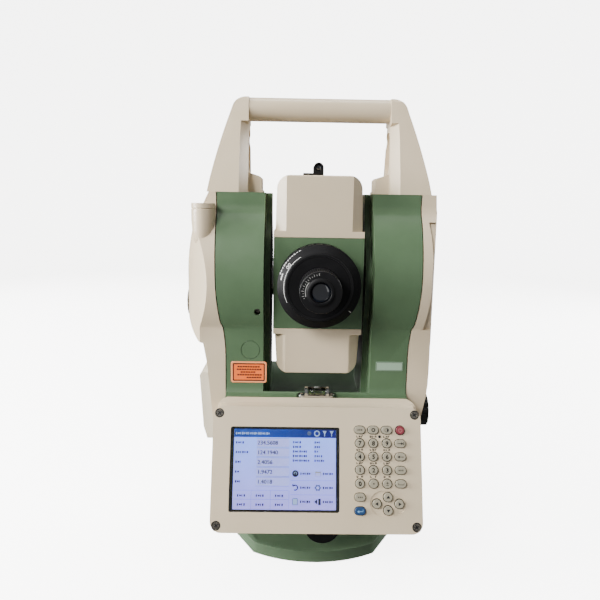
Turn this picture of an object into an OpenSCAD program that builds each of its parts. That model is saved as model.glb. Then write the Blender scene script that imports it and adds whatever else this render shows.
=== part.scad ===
// Surveying total station on a three-screw tribrach.
// Millimetres. +Z up, the keypad faces -Y, +X is the observer's right.
// The origin is the centre of the tripod thread at the underside of the base plate.

/* [Overall] */
// Height from the tripod face to the top of the carrying handle
total_h = 351; // [346:1:356]
// Height of the telescope's tilting axis
axis_z = 211.5; // [211:0.5:212]
// Height of the top faces of the two standards
stand_top = 278.5; // [277.5:0.5:279.5]

/* [Tribrach] */
// Distance from the thread to the middle of a side of the base plate
plate_side = 66.2; // [65:0.2:68]
// Thickness of the base plate
plate_t = 9; // [8:0.5:10]
// Radius of the bore that takes the 5/8 inch tripod screw (minor diameter)
thread_r = 6.85; // [6.7:0.05:7]
// Radius of the circle that the foot screws stand on
foot_circle_r = 48; // [47.5:0.25:48.5]
// Radius of a foot screw's knob
foot_knob_r = 16; // [14:0.5:16.5]

/* [Alidade] */
// Half width of the green frame above the waist
frame_half_w = 77; // [76.5:0.5:77.5]
// Half width of the channel that the telescope turns in
channel_half = 36.2; // [36:0.1:36.6]
// Radius of the bowed front and back faces of the standards
bow_r = 75; // [74:0.5:77]
// Half depth of the standards at the tilting axis
bow_half_d = 53; // [52:0.5:53.5]
// Wall of the moulded covers
wall = 3; // [2.5:0.1:3.2]

/* [Panel] */
// Width of the keypad unit
panel_w = 150; // [149:1:151]
// Height of the keypad unit along its slope
panel_h = 87.3; // [87:0.1:88]
// Lean of the keypad unit from the vertical
panel_tilt = 19.6; // [19.2:0.1:20]
// Travel of a key
key_travel = 1.2; // [0.8:0.1:1.4]
// Pitch of the key columns
key_pitch_x = 9.7; // [9.5:0.1:9.8]
// Pitch of the key rows
key_pitch_y = 9.3; // [9.1:0.1:9.4]

/* [Telescope] */
// Half width of the telescope
scope_half_w = 33.7; // [33:0.1:34]
// Half depth of the telescope's housing
scope_half_d = 41; // [40:0.5:41.5]
// Height of the upper cover's top above the tilting axis
upper_h = 79.8; // [79:0.2:80.2]
// Depth of the lower cover's foot below the tilting axis
lower_h = 69.2; // [68:0.2:70]
// Radius that the telescope's housing sweeps
sweep_r = 89; // [88:0.25:90]
// Radius of the focusing ring
focus_r = 30.5; // [30:0.1:31]

/* [Hidden] */
$fn = 64;
gap = 0.3;           // between pieces that part or turn
parting = 0.8;       // groove between the covers and the frame
fit = 0.05;          // radial running clearance of a shaft in its bore
green = "#5f7f63";
beige = "#d3cbb9";
black = "#17181a";
steel = "#a9abab";
glass = "#9fc3d6";

// Tribrach heights
tribrach_z0 = 28.5;
tribrach_z1 = 46;
socket_z = 37;
flange_z1 = 53.4;
hub_z1 = 82;
screw_r = 4;
spindle_r = 10;
dish_z = plate_t - 1.8;
lock_at = [6.3, 26];
plate_curve = 91.3;  // radius of a side of the base plate
plate_cut = 67.3;    // from the thread to a cut corner
level_angle = 30;
foot_angles = [-30, -150, 90];

// Alidade
frame_z0 = 54;
waist_z = 177.8;
floor_r = 94.5;
low_half_d = 45;
top_half_d = 30;
shelf_z = 127.7;
shelf_y = -56;
ledge_z = 127.2;
mouth_half = 40.5;   // half width of the channel's mouth, front and back
mouth_depth = 18;
bow_y = bow_r - bow_half_d;
blend_r = 12;        // hollow arc between the bow and the top
blend_turn = acos((top_half_d + blend_r + bow_y) / (bow_r + blend_r));
low_half_w = 68.4;
mid_half_w = frame_half_w - 1.6;
web = 11.5;
// The waist in the frame's sides: a bulging arc above a hollow one
bulge_r = 250;
bulge_z = 222;
hollow_r = 130;
hollow_z = 155;
blend_z = (bulge_z * hollow_r + hollow_z * bulge_r) / (bulge_r + hollow_r);

// Telescope
band_half = 34.25;
body_z0 = axis_z - band_half;
body_z1 = axis_z + band_half;
tube_r = 21;
cell_r = 18;
trunnion_r = 8;

// Knobs: [y, z] of each pair's axis
v_knob = [5, 190];
h_knob = [-5, 102];
knob_shaft_r = 4;

// Radio pod
pod_at = [-86, -38];
pod_r = 8.7;

// Panel: the middle of its face, and the places on it
panel_mid = [0, -84.02, 83.98];
frame_t = 6;
board_z = -12.4;
screen_at = [-23, -0.15];
screen_size = [78.4, 59];
panel_screw_at = [70.6, 38.8];
key_x = [for (c = [0:3]) 30.6 + key_pitch_x * c];
key_y = [for (r = [0:6]) 27.85 - key_pitch_y * r];
pad_at = [50.4, -23];
key_round_r = 3;
key_oval = [7.5, 5.3];

// Every key: [name, place, true for an oval cap]
KEYS = [
    ["key_function", [key_x[0], key_y[0]], true],
    ["key_backlight", [key_x[1], key_y[0]], true],
    ["key_contrast", [key_x[2], key_y[0]], true],
    ["key_power", [key_x[3], key_y[0]], false],
    ["key_7", [key_x[0], key_y[1]], false],
    ["key_8", [key_x[1], key_y[1]], false],
    ["key_9", [key_x[2], key_y[1]], false],
    ["key_tab", [key_x[3], key_y[1]], true],
    ["key_4", [key_x[0], key_y[2]], false],
    ["key_5", [key_x[1], key_y[2]], false],
    ["key_6", [key_x[2], key_y[2]], false],
    ["key_backspace", [key_x[3], key_y[2]], true],
    ["key_1", [key_x[0], key_y[3]], false],
    ["key_2", [key_x[1], key_y[3]], false],
    ["key_3", [key_x[2], key_y[3]], false],
    ["key_control", [key_x[3], key_y[3]], true],
    ["key_0", [key_x[0], key_y[4]], false],
    ["key_point", [key_x[1], key_y[4]], false],
    ["key_sign", [key_x[2], key_y[4]], false],
    ["key_space", [key_x[3], key_y[4]], true],
    ["key_escape", [key_x[0], key_y[5]], true],
    ["key_enter", [key_x[0], key_y[6]], true],
    ["key_up", pad_at + [0, 4.5], false],
    ["key_down", pad_at - [0, 4.5], false],
    ["key_left", pad_at - [8, 0], false],
    ["key_right", pad_at + [8, 0], false]
];

OTHER_NODES = [
    "base_plate", "tribrach_body", "circular_level", "centering_base",
    "foot_screw_right", "foot_screw_left", "foot_screw_rear", "tribrach_lock",
    "alidade_frame", "vertical_spindle", "left_cover", "right_cover",
    "carry_handle", "screws", "radio_pod", "panel_housing", "panel_frame",
    "display_module", "plate_level", "battery_pack",
    "horizontal_clamp", "horizontal_tangent", "vertical_clamp", "vertical_tangent",
    "plummet_eyepiece", "telescope_body", "upper_cover", "lower_cover",
    "trunnion_shafts", "objective", "sight", "focus_ring", "diopter_ring",
    "focusing_lens"
];

// ---------- helpers ----------

// Extrudes a (y, z) outline from x0 to x1
module along_x(x0, x1)
    translate([x0, 0, 0]) rotate([90, 0, 90]) linear_extrude(x1 - x0) children();

// Extrudes an (x, z) outline from y0 to y1
module along_y(y0, y1)
    translate([0, y1, 0]) rotate([90, 0, 0]) linear_extrude(y1 - y0) children();

// A cylinder along +X from x0 to x1 at [y, z]
module rod_x(x0, x1, at, r)
    translate([x0, at[0], at[1]]) rotate([0, 90, 0]) cylinder(h = x1 - x0, r = r);

// A cylinder along +Y from y0 to y1 at [x, z]
module rod_y(y0, y1, at, r)
    translate([at[0], y1, at[1]]) rotate([90, 0, 0]) cylinder(h = y1 - y0, r = r);

// A rectangle with round corners, given by its size and centred
module round_rect(size, r) {
    square([size[0] - 2 * r, size[1]], center = true);
    square([size[0], size[1] - 2 * r], center = true);
    for (x = [-1, 1], y = [-1, 1])
        translate([x * (size[0] / 2 - r), y * (size[1] / 2 - r)]) circle(r);
}

// Puts its children on the panel's face: x across, y up the slope, z out of it
module on_panel()
    translate(panel_mid) rotate([90 - panel_tilt, 0, 0]) children();

// A ring of scallops for a knob's grip, cut round the Z axis
module scallops(r, n, cut_r, z0, z1)
    for (i = [0:n - 1])
        rotate(360 / n * i) translate([r + cut_r * 0.6, 0, z0])
            cylinder(h = z1 - z0, r = cut_r, $fn = 24);

// ---------- outlines ----------

// Points up the front of a standard, in (y, z), from angle a0 below the bow's middle. A hollow
// arc leads from the bow to the flat face under the handle
function front_points(inset, a0) = concat(
    arc([bow_y, axis_z], bow_r - inset, 180 + a0, 180 - blend_turn, 26),
    arc([-top_half_d - blend_r, axis_z + (bow_r + blend_r) * sin(blend_turn)],
        blend_r + inset, -blend_turn, 0, 5),
    [[inset - top_half_d, stand_top + 1]]
);

// Closes points up the front with their mirror image down the back, from z0 to z1
module closed_outline(front, z0, z1) {
    n = len(front);
    intersection() {
        polygon(concat(front, [for (i = [1:n]) [-front[n - i][0], front[n - i][1]]]));
        translate([-bow_half_d, z0]) square([2 * bow_half_d, z1 - z0]);
    }
}

// The side view of a standard above the waist, in (y, z)
module bow_outline(inset, z0, z1)
    closed_outline(front_points(inset, asin((axis_z - z0) / (bow_r - inset))), z0, z1);

// The whole side view of the alidade, in (y, z)
module side_outline(inset, z0, z1)
    closed_outline(concat(
        [[inset - low_half_d, z0]],
        front_points(inset, acos((bow_y + low_half_d - inset) / (bow_r - inset)))
    ), z0, z1);

// Points on a circle from angle a0 to a1
function arc(centre, r, a0, a1, n) =
    [for (i = [0:n]) let (a = a0 + (a1 - a0) * i / n) centre + r * [cos(a), sin(a)]];

// One half of the frame's front view, in (x, z): nearly upright, waisted, upright
module front_half(grow) {
    bulge = asin((bulge_z - blend_z) / bulge_r);
    hollow = asin((blend_z - hollow_z) / hollow_r);
    polygon(concat(
        [[0, frame_z0 - 5], [low_half_w + grow, frame_z0 - 5]],
        arc([low_half_w + grow + hollow_r, hollow_z], hollow_r, 180, 180 - hollow, 6),
        arc([mid_half_w + grow - bulge_r, bulge_z], bulge_r, -bulge + 1, 0, 7),
        [[frame_half_w + grow, stand_top + 5], [0, stand_top + 5]]
    ));
}

module front_outline(grow) for (s = [0, 1]) mirror([s, 0]) front_half(grow);

// The channel that the telescope turns in: its floor is curved about the tilting axis, and
// it is wider at its front and back mouths
module channel()
    intersection() {
        union() {
            along_x(-channel_half, channel_half) translate([-70, 100]) square([140, 200]);
            along_x(-mouth_half, mouth_half) difference() {
                translate([-70, 100]) square([140, 200]);
                side_outline(mouth_depth, 100, stand_top + 0.5);
            }
        }
        union() {
            rod_x(-50, 50, [0, axis_z], floor_r);
            translate([-50, -90, axis_z]) cube([100, 180, 90]);
        }
    }

// ---------- tribrach ----------

// Outline of the base plate: three bowed sides, and a cut corner outside each foot screw
module plate_outline(inset)
    intersection_for (a = foot_angles) {
        intersection() {
            rotate(a) translate([plate_curve - plate_side, 0]) circle(plate_curve - inset, $fn = 180);
            rotate(a) translate([-100, -100]) square([100 + plate_cut - inset, 200]);
        }
    }

module at_feet() for (a = foot_angles) rotate(a) translate([foot_circle_r, 0, 0]) children();

module base_plate() {
    hub_r = 20;
    color(green) difference() {
        union() {
            difference() {
                linear_extrude(plate_t) plate_outline(0);
                translate([0, 0, dish_z]) linear_extrude(plate_t) plate_outline(4);
            }
            cylinder(h = plate_t + 4, r = hub_r);
        }
        translate([0, 0, -1]) cylinder(h = plate_t + 6, r = thread_r);
        at_feet() translate([0, 0, 3]) cylinder(h = plate_t, r = screw_r + fit);
    }
    // Hold-down spring plate
    color(steel) translate([0, 0, dish_z + 0.1]) linear_extrude(1.2)
        difference() {
            union() {
                circle(30);
                for (a = foot_angles) rotate(a) {
                    translate([0, -9]) square([foot_circle_r, 18]);
                    translate([foot_circle_r, 0]) circle(9);
                }
            }
            circle(hub_r + 0.3);
            for (a = foot_angles) rotate(a) translate([foot_circle_r, 0]) circle(screw_r + 0.4);
        }
}

module foot_screw(angle) {
    knob_z0 = 13.5;
    knob_z1 = 27.5;
    color(black) rotate(angle) translate([foot_circle_r, 0, 0]) {
        difference() {
            translate([0, 0, knob_z0]) cylinder(h = knob_z1 - knob_z0, r = foot_knob_r);
            scallops(foot_knob_r, 12, 2.6, knob_z0 - 1, knob_z1 + 1);
        }
        translate([0, 0, 3.3]) cylinder(h = tribrach_z1 - 4.3, r = screw_r);
    }
}

module tribrach_body() {
    ear_r = 14.5;
    color(green) difference() {
        union() {
            translate([0, 0, tribrach_z0]) linear_extrude(tribrach_z1 - tribrach_z0) {
                circle(47, $fn = 128);
                for (a = foot_angles) rotate(a) {
                    translate([foot_circle_r, 0]) circle(ear_r);
                    translate([foot_circle_r - 16, -ear_r]) square([16, 2 * ear_r]);
                }
            }
            rod_y(-51.5, -40, lock_at + [0, 3], 9);
            rotate(level_angle) translate([56, 0, 36]) cylinder(h = 4, r = 10);
            rotate(level_angle) translate([38, -7, 36]) cube([18, 14, 4]);
        }
        translate([0, 0, socket_z]) cylinder(h = 20, r = 36);
        translate([0, 0, tribrach_z0 - 1]) cylinder(h = 20, r = 22);
        at_feet() translate([0, 0, tribrach_z0 - 1]) cylinder(h = 22, r = screw_r + fit);
        rod_y(-60, -38, lock_at, 3 + fit);
    }
}

module tribrach_lock() {
    knob_r = 13.5;
    color(black) {
        rod_y(-53, -38.5, lock_at, 3);
        rod_y(-60.5, -52, lock_at, knob_r);
        // Finger bar across the knob's face
        intersection() {
            rod_y(-63, -60, lock_at, knob_r);
            translate([lock_at[0] - knob_r, -63, lock_at[1] - 3]) cube([2 * knob_r, 4, 6]);
        }
    }
}

module circular_level() {
    rotate(level_angle) translate([56, 0, 40.05]) {
        color(steel) difference() {
            cylinder(h = 7.5, r = 9);
            translate([0, 0, 1.5]) cylinder(h = 8, r = 7.2);
        }
        color(glass) translate([0, 0, 1.55]) cylinder(h = 5.2, r = 7.1);
    }
}

module centering_base() {
    color(steel) difference() {
        union() {
            translate([0, 0, socket_z + 0.05])
                cylinder(h = tribrach_z1 - socket_z + 1, r = 35.9);
            translate([0, 0, tribrach_z1 + 0.5])
                cylinder(h = flange_z1 - tribrach_z1 - 0.5, r = 43, $fn = 128);
            translate([0, 0, socket_z + 1]) cylinder(h = hub_z1 - socket_z - 1, r = 18);
        }
        translate([0, 0, socket_z - 1]) cylinder(h = 60, r = spindle_r + fit);
    }
}

module vertical_spindle() {
    color(steel) {
        translate([0, 0, socket_z + 3]) cylinder(h = 54, r = spindle_r);
        translate([0, 0, 88.2]) cylinder(h = 5.8, r = 17);
    }
    // Horizontal circle
    color(glass) difference() {
        translate([0, 0, 84]) cylinder(h = 2, r = 28);
        translate([0, 0, 83]) cylinder(h = 4, r = spindle_r + 0.02);
    }
}

// ---------- alidade ----------

module alidade_frame() {
    cavity_x = channel_half + web;
    color(green) difference() {
        union() {
            intersection() {
                along_x(-frame_half_w, frame_half_w) side_outline(0, frame_z0, stand_top);
                along_y(-60, 60) front_outline(0);
            }
            // Ledge behind the keypad's shoulder, with a hollow corner over it
            along_x(-low_half_w, low_half_w) polygon([
                [-40, ledge_z + 6], [-low_half_d, ledge_z + 6], [-low_half_d - 0.6, ledge_z + 3],
                [-low_half_d - 1.8, ledge_z + 1], [-low_half_d - 4, ledge_z], [shelf_y + 0.3, ledge_z],
                [shelf_y + 0.3, ledge_z - 7.5], [-40, ledge_z - 7.5]
            ]);
        }
        channel();
        // Seat of the plate level
        translate([-15, shelf_y - 1, ledge_z - 1.4]) cube([30, 10.6, 9]);
        // Hollows of the two standards, open towards the covers
        for (s = [0, 1]) mirror([s, 0, 0])
            along_x(cavity_x, frame_half_w + 1) bow_outline(7, waist_z + 2, stand_top - 8);
        // Room for the hub and the horizontal circle
        translate([0, 0, frame_z0 - 1]) cylinder(h = 88.2 - frame_z0 + 1, r = 30);
        translate([0, 0, 88]) cylinder(h = 6.1, r = 17.05);
        translate([0, 0, 88]) cylinder(h = 8, r = spindle_r + 0.5);
        rod_x(-90, 90, [0, axis_z], trunnion_r + fit);
        // Blind bores of the knob shafts
        rod_x(-90, -channel_half - 3.5, v_knob, knob_shaft_r + fit);
        rod_x(45, 90, h_knob, knob_shaft_r + fit);
        // Hollows of the lower casting, open towards the covers
        for (s = [0, 1]) mirror([s, 0, 0]) translate([59, -37, 68]) cube([20, 74, 84]);
        // Optical plummet's tube, and the light path down the axis
        rod_y(31, 60, [0, 74], 6 + fit);
        // Tapped holes for the handle's screws
        for (s = [-1, 1]) translate([s * 53, 0, stand_top - 7]) cylinder(h = 9, r = 1.5);
        // Access hole of the line-of-sight adjuster, and the rim of a plug under it
        rod_y(-60, -40, [-45, 191], 2.5);
        difference() {
            rod_y(-50, -low_half_d + 0.5, [-50.3, 161], 7.2);
            rod_y(-51, -40, [-50.3, 161], 6.7);
        }
    }
}

// Front view of the outer face of a side cover, in (x, z). s is -1 for the left cover
module cover_outline(s, inset) {
    foot = 62 + inset;
    top = stand_top - inset;
    if (s > 0) polygon([
        for (p = [
            [60, top], [88.3 - inset, top], [89.4 - inset, 258], [92.3 - inset, 200],
            [92.3 - inset, 176], [86.4 - inset, 165], [86.4 - inset, 147], [84.4 - inset, 127],
            [80.8 - inset, 108], [77 - inset, foot], [60, foot]
        ]) p
    ]);
    else {
        rise = asin((top - 196) / (180 - inset));
        polygon(concat(
            [[-60, top], [-60, foot], [inset - 75, foot], [inset - 78.8, 106],
                [inset - 83.2, 150], [inset - 86, 165.5]],
            arc([-64, 196], 39 - inset, 180 + asin(29 / (39 - inset)), 180, 16),
            arc([77, 196], 180 - inset, 180 - rise / 20, 180 - rise, 19)
        ));
    }
}

// The solid volume inside a side cover's outer face
module cover_volume(s, inset) {
    reach = s < 0 ? 103 : 92.3;
    plan_r = s < 0 ? 77 : 148;
    intersection() {
        along_x(s > 0 ? 60 : -120, s > 0 ? 120 : -60)
            side_outline(inset, 60, stand_top - inset);
        along_y(-60, 60) cover_outline(s, inset);
        translate([s * (reach - plan_r), 0, 50])
            cylinder(h = 240, r = plan_r - inset, $fn = 200);
    }
}

// Groove that sets the side drum off from the rib round a cover's edge, from x = 0
module rib_groove()
    along_x(0, 40) difference() {
        bow_outline(6, waist_z + 8, stand_top - 9);
        bow_outline(7.6, waist_z + 9.6, stand_top - 10.6);
    }

module left_cover() {
    color(beige) difference() {
        cover_volume(-1, 0);
        difference() {
            cover_volume(-1, wall);
            rod_x(-120, -88.9, v_knob, 17);
        }
        along_y(-70, 70) front_outline(parting);
        rod_x(-120, -91.9, v_knob, 14);
        rod_x(-120, -60, v_knob, knob_shaft_r + 0.6);
        translate([-120, -24.4, 81.6]) cube([50, 60.8, 55.8]);
        translate([0, 0, -0.1]) pod_volume(0.1);
    }
}

module right_cover() {
    color(beige) difference() {
        cover_volume(1, 0);
        cover_volume(1, wall);
        along_y(-70, 70) front_outline(parting);
        rod_x(60, 120, h_knob, knob_shaft_r + 0.6);
        rod_x(80.3, 120, h_knob, 14.4);
        translate([85, 0, 0]) rib_groove();
        // The drum stands back from the rim that bounds it, along an arc
        intersection() {
            along_y(-60, 60) polygon(concat(
                arc([-216.5, 228], 300, -10, 5.8, 12), [[110, 258.3], [110, 175.9]]
            ));
            along_x(70, 110) difference() {
                translate([-60, waist_z + 0.2]) square([120, 90]);
                bow_outline(2, waist_z - 0.5, stand_top);
            }
        }
    }
}

// Bullet-shaped housing: a round top that narrows to a blunt tip
module pod_volume(grow) {
    r = pod_r + grow;
    translate([pod_at[0], pod_at[1], 238]) rotate_extrude()
        polygon([
            [0, -grow], [3.2 + grow, -grow], [5.4 + grow, 1.6], [7 + grow, 5.5],
            [8 + grow, 11], [r, 19], [r, 32 + grow], [0, 32 + grow]
        ]);
}

module radio_pod()
    color(beige) difference() {
        pod_volume(0);
        // Parting groove under the lid
        translate([pod_at[0], pod_at[1], 265.6]) difference() {
            cylinder(h = 0.6, r = pod_r + 1);
            translate([0, 0, -1]) cylinder(h = 3, r = pod_r - 0.6);
        }
    }

module battery_pack()
    color(beige) difference() {
        along_y(-24, 36) polygon([
            [-71.5, 82], [-71.5, 137], [-90.8, 137], [-92.2, 134.6], [-89.4, 92], [-86.5, 82]
        ]);
        // Finger groove
        rod_y(-8, 20, [-95.4, 126], 5);
    }

// Front view of the handle's outside, in (x, z)
module handle_outline() {
    foot_w = 84.5;
    corner = 11;
    corner_at = [56.5, total_h - corner];
    lean = 18;
    // The right side bows out between the foot and the start of the top corner
    side_r = 480;
    tip = corner_at + corner * [cos(lean), sin(lean)];
    foot = [foot_w, stand_top];
    half = (tip - foot) / 2;
    back = sqrt(side_r * side_r - half * half);
    centre = (tip + foot) / 2 - [half[1], -half[0]] / norm(half) * back;
    intersection() {
        polygon([
            [-foot_w - 5, stand_top], [foot_w + 5, stand_top], [tip[0] + 5, tip[1]], tip,
            [corner_at[0], total_h], [-corner_at[0], total_h], [-tip[0], tip[1]],
            [-tip[0] - 5, tip[1]]
        ]);
        translate(centre) circle(side_r, $fn = 256);
        translate([-centre[0], centre[1]]) circle(side_r, $fn = 256);
    }
    for (x = [-1, 1]) translate([x * corner_at[0], corner_at[1]]) circle(corner);
}

module carry_handle() {
    inner = 54.5;       // the legs' inner faces
    grip_r = 8.5;
    // Two legs and a grip, side view in (y, z)
    color(beige) difference() {
        union() {
            intersection() {
                along_y(-40, 40) handle_outline();
                along_x(-100, 100) polygon([
                    [-30, stand_top], [30, stand_top], [28.5, stand_top + 10],
                    [12.5, total_h - 12], [11, total_h - 3], [8.5, total_h],
                    [-8.5, total_h], [-11, total_h - 3], [-12.5, total_h - 12],
                    [-28.5, stand_top + 10]
                ]);
                for (s = [0, 1]) mirror([s, 0, 0]) translate([inner, -50, 270]) cube([50, 100, 90]);
            }
            along_x(-inner - 2, inner + 2) translate([0, total_h - grip_r]) {
                square([6, 2 * grip_r], center = true);
                for (y = [-3, 3]) translate([y, 0]) circle(grip_r);
            }
            // Lugs on the standards' inner shoulders, each on a thin lip
            for (s = [0, 1]) mirror([s, 0, 0]) along_y(-12, 14) polygon([
                [43.4, stand_top], [43.4, stand_top + 2], [44.4, stand_top + 2.6], [44.4, 289.8],
                [46, 291.3], [56, 294.4], [62, 294.8], [62, stand_top]
            ]);
        }
        // Cut-back inner edges of the legs, front and back
        for (x = [0, 1], y = [0, 1]) mirror([x, 0, 0]) mirror([0, y, 0])
            translate([0, -30, stand_top]) rotate([-15.4, 0, 0]) translate([0, 0, -10])
                linear_extrude(66) polygon([[50, -6], [60.6, -6], [60.6, 0], [54.4, 8.5], [50, 8.5]]);
        for (s = [-1, 1]) {
            translate([s * 53, 0, stand_top - 1]) cylinder(h = 20, r = 1.6);
            translate([s * 53, 0, stand_top + 9]) cylinder(h = 20, r = 2.7);
            // Pocket in the leg's inner face
            along_x(s > 0 ? 52 : -60, s > 0 ? 60 : -52)
                translate([1, 310.5]) round_rect([21, 33], 10);
        }
    }
}

// One cross-head machine screw along -Z, its head's underside at the origin
module screw(length) {
    difference() {
        cylinder(h = 2, r = 2.4);
        translate([-0.35, -1.6, 1]) cube([0.7, 3.2, 2]);
        translate([-1.6, -0.35, 1]) cube([3.2, 0.7, 2]);
    }
    translate([0, 0, -length]) cylinder(h = length + 0.1, r = 1.4);
}

module screws()
    color("#5a5850") {
        on_panel() for (x = [-1, 1], y = [-1, 1])
            translate([x * panel_screw_at[0], y * panel_screw_at[1], -2.2]) screw(4.5);
        for (s = [-1, 1]) translate([s * 53, 0, stand_top + 9.02]) screw(15);
    }

// A short vial across a round-ended tray, on the ledge under the telescope
module plate_level() {
    mid_y = -51.2;
    seat_z = ledge_z - 1.4;
    at = [mid_y - 1.2, seat_z + 5.4];
    color(steel) {
        translate([0, mid_y, seat_z + 0.05]) difference() {
            linear_extrude(3.2) round_rect([28, 9], 4.4);
            translate([0, 0, 1]) linear_extrude(3) round_rect([26, 7], 3.4);
        }
        for (s = [-1, 1]) {
            rod_x(s * 8 - 1, s * 8 + 1, at, 4);
            translate([s * 8 - 1, mid_y - 3, seat_z + 0.5]) cube([2, 5, 3]);
        }
    }
    color(glass) rod_x(-6.95, 6.95, at, 3.8);
}

// ---------- keypad unit ----------

module panel_frame()
    color(beige) on_panel() difference() {
        union() {
            translate([0, 0, -frame_t]) linear_extrude(frame_t) round_rect([panel_w, panel_h], 8);
            // Upper edge, which carries the slope of the housing's shoulder forward
            intersection() {
                along_x(5 - panel_w / 2, panel_w / 2 - 5) polygon([
                    [panel_h / 2 - 0.8, 0], [panel_h / 2 - 0.1, 0], [panel_h / 2 + 3, -frame_t],
                    [panel_h / 2 - 0.8, -frame_t]
                ]);
                translate([0, 0, -frame_t]) linear_extrude(frame_t)
                    round_rect([panel_w, panel_h + 6], 10);
            }
        }
        translate([screen_at[0], screen_at[1], -frame_t - 1])
            linear_extrude(frame_t + 2) round_rect(screen_size, 1.5);
        for (k = KEYS) translate([k[1][0], k[1][1], -frame_t - 1])
            linear_extrude(frame_t + 2) key_outline(k[2], 0.2);
        for (x = [-1, 1], y = [-1, 1])
            translate([x * panel_screw_at[0], y * panel_screw_at[1], -2.25]) {
                cylinder(h = 5, r = 2.8);
                translate([0, 0, -6]) cylinder(h = 8, r = 1.6);
            }
        // Shallow dish round the cursor keys
        translate([pad_at[0], pad_at[1], -0.5]) linear_extrude(2) round_rect([25.2, 17], 8.4);
    }

module display_module()
    on_panel() {
        // Touch glass and liquid crystal unit
        color("#2b3f8c") translate([screen_at[0], screen_at[1], 0]) {
            translate([0, 0, -6.5]) linear_extrude(5) round_rect([77.6, 58.6], 1.5);
            translate([-42, -32, -10]) cube([84, 64, 3.8]);
        }
        // Keypad circuit board
        color("#1f5a3a") translate([-62, -31.5, board_z - 1.6]) cube([128, 63.5, 1.6]);
    }

// Side view of the keypad unit's housing behind the frame, in (y, z). front moves its open
// face forward
module housing_outline(inset, front = 0) {
    t = panel_tilt;
    n = front - frame_t - 0.05;
    function at(v) = [
        panel_mid[1] + v * sin(t) - n * cos(t), panel_mid[2] + v * cos(t) + n * sin(t)
    ];
    top = at(panel_h / 2 + 2.9 - inset);
    foot = at(inset - panel_h / 2);
    back = -low_half_d - 0.1 - inset;
    polygon([
        top, [shelf_y - inset, shelf_z - inset], [shelf_y - inset, ledge_z - 7.8 - inset],
        [back, ledge_z - 7.8 - inset], [back, 62 + inset], [-72 - inset, 48 + inset], foot
    ]);
}

module panel_housing()
    color(beige) difference() {
        intersection() {
            along_x(-73, 73) housing_outline(0);
            on_panel() translate([0, -4.4, -80]) linear_extrude(80) round_rect([146, 111.2], 10);
        }
        difference() {
            along_x(-70.4, 70.4) housing_outline(2.4, 1);
            // Columns of the four corner screws
            on_panel() for (x = [-1, 1], y = [-1, 1])
                translate([x * panel_screw_at[0], y * panel_screw_at[1], -14])
                    cylinder(h = 14 - frame_t - 0.05, r = 3.2);
        }
        on_panel() for (x = [-1, 1], y = [-1, 1])
            translate([x * panel_screw_at[0], y * panel_screw_at[1], -10])
                cylinder(h = 20, r = 1.5);
    }

module key_outline(oval, grow) {
    if (oval) {
        r = key_oval[1] / 2 + grow;
        reach = (key_oval[0] - key_oval[1]) / 2;
        square([2 * reach, 2 * r], center = true);
        for (s = [-1, 1]) translate([s * reach, 0]) circle(r, $fn = 32);
    } else circle(key_round_r + grow, $fn = 32);
}

// A key: its cap stands proud of the frame, a wider skirt keeps it in, and its foot stands
// one travel above the circuit board
module key(k) {
    proud = 1.7;
    stem_z = board_z + key_travel + 0.15;
    tint = k[0] == "key_power" ? "#b5525c" : k[0] == "key_enter" ? "#2f6fae" : "#b3b09c";
    color(tint) on_panel() translate([k[1][0], k[1][1], 0]) {
        translate([0, 0, stem_z]) linear_extrude(proud - stem_z) key_outline(k[2], 0);
        translate([0, 0, -frame_t - 2.3]) linear_extrude(2) key_outline(k[2], 0.7);
    }
}

// ---------- knobs ----------

// A coaxial pair's inner ring, along +X from x0
module clamp_knob(x0, length, r)
    translate([x0, 0, 0]) rotate([0, 90, 0]) difference() {
        union() {
            cylinder(h = length, r = r);
            translate([0, -2.5, 0]) cube([r + 2.5, 5, length]);
        }
        translate([0, 0, -1]) cylinder(h = length + 2, r = knob_shaft_r + fit);
    }

// The outer, slow-motion knob and its shaft, along +X: shaft from x0, grip from x1 to x2
module tangent_knob(x0, x1, x2, r)
    rotate([0, 90, 0]) {
        translate([0, 0, x0]) cylinder(h = x1 - x0 + 1, r = knob_shaft_r);
        difference() {
            translate([0, 0, x1]) cylinder(h = x2 - x1, r = r);
            scallops(r, 16, 1.5, x1 - 1, x2 + 1);
        }
    }

module horizontal_clamp()
    color(black) translate([0, h_knob[0], h_knob[1]]) clamp_knob(80.6, 3.8, 13.8);

module horizontal_tangent()
    color(black) translate([0, h_knob[0], h_knob[1]]) tangent_knob(45.3, 84.7, 94, 13.3);

module vertical_clamp()
    color(black) translate([0, v_knob[0], v_knob[1]]) mirror([1, 0, 0])
        clamp_knob(92.3, 4.6, 10.6);

module vertical_tangent()
    color(black) translate([0, v_knob[0], v_knob[1]]) mirror([1, 0, 0])
        tangent_knob(channel_half + 3.8, 97.2, 104.4, 11.2);

module plummet_eyepiece()
    color(black) {
        rod_y(33, 47, [0, 74], 6);
        rod_y(45.8, 56, [0, 74], 9);
        rod_y(55, 61, [0, 74], 7);
    }

// ---------- telescope ----------

module telescope_body()
    color(green) difference() {
        union() {
            translate([-scope_half_w, -scope_half_d, body_z0])
                cube([2 * scope_half_w, 2 * scope_half_d, 2 * band_half]);
            rod_y(-64, -scope_half_d + 1, [0, axis_z], 12);
        }
        rod_y(-scope_half_d + 6, scope_half_d + 1, [0, axis_z], tube_r);
        rod_y(-70, -30, [0, axis_z], 8 + fit);
        rod_x(-40, 40, [0, axis_z], 6.05);
    }

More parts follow.
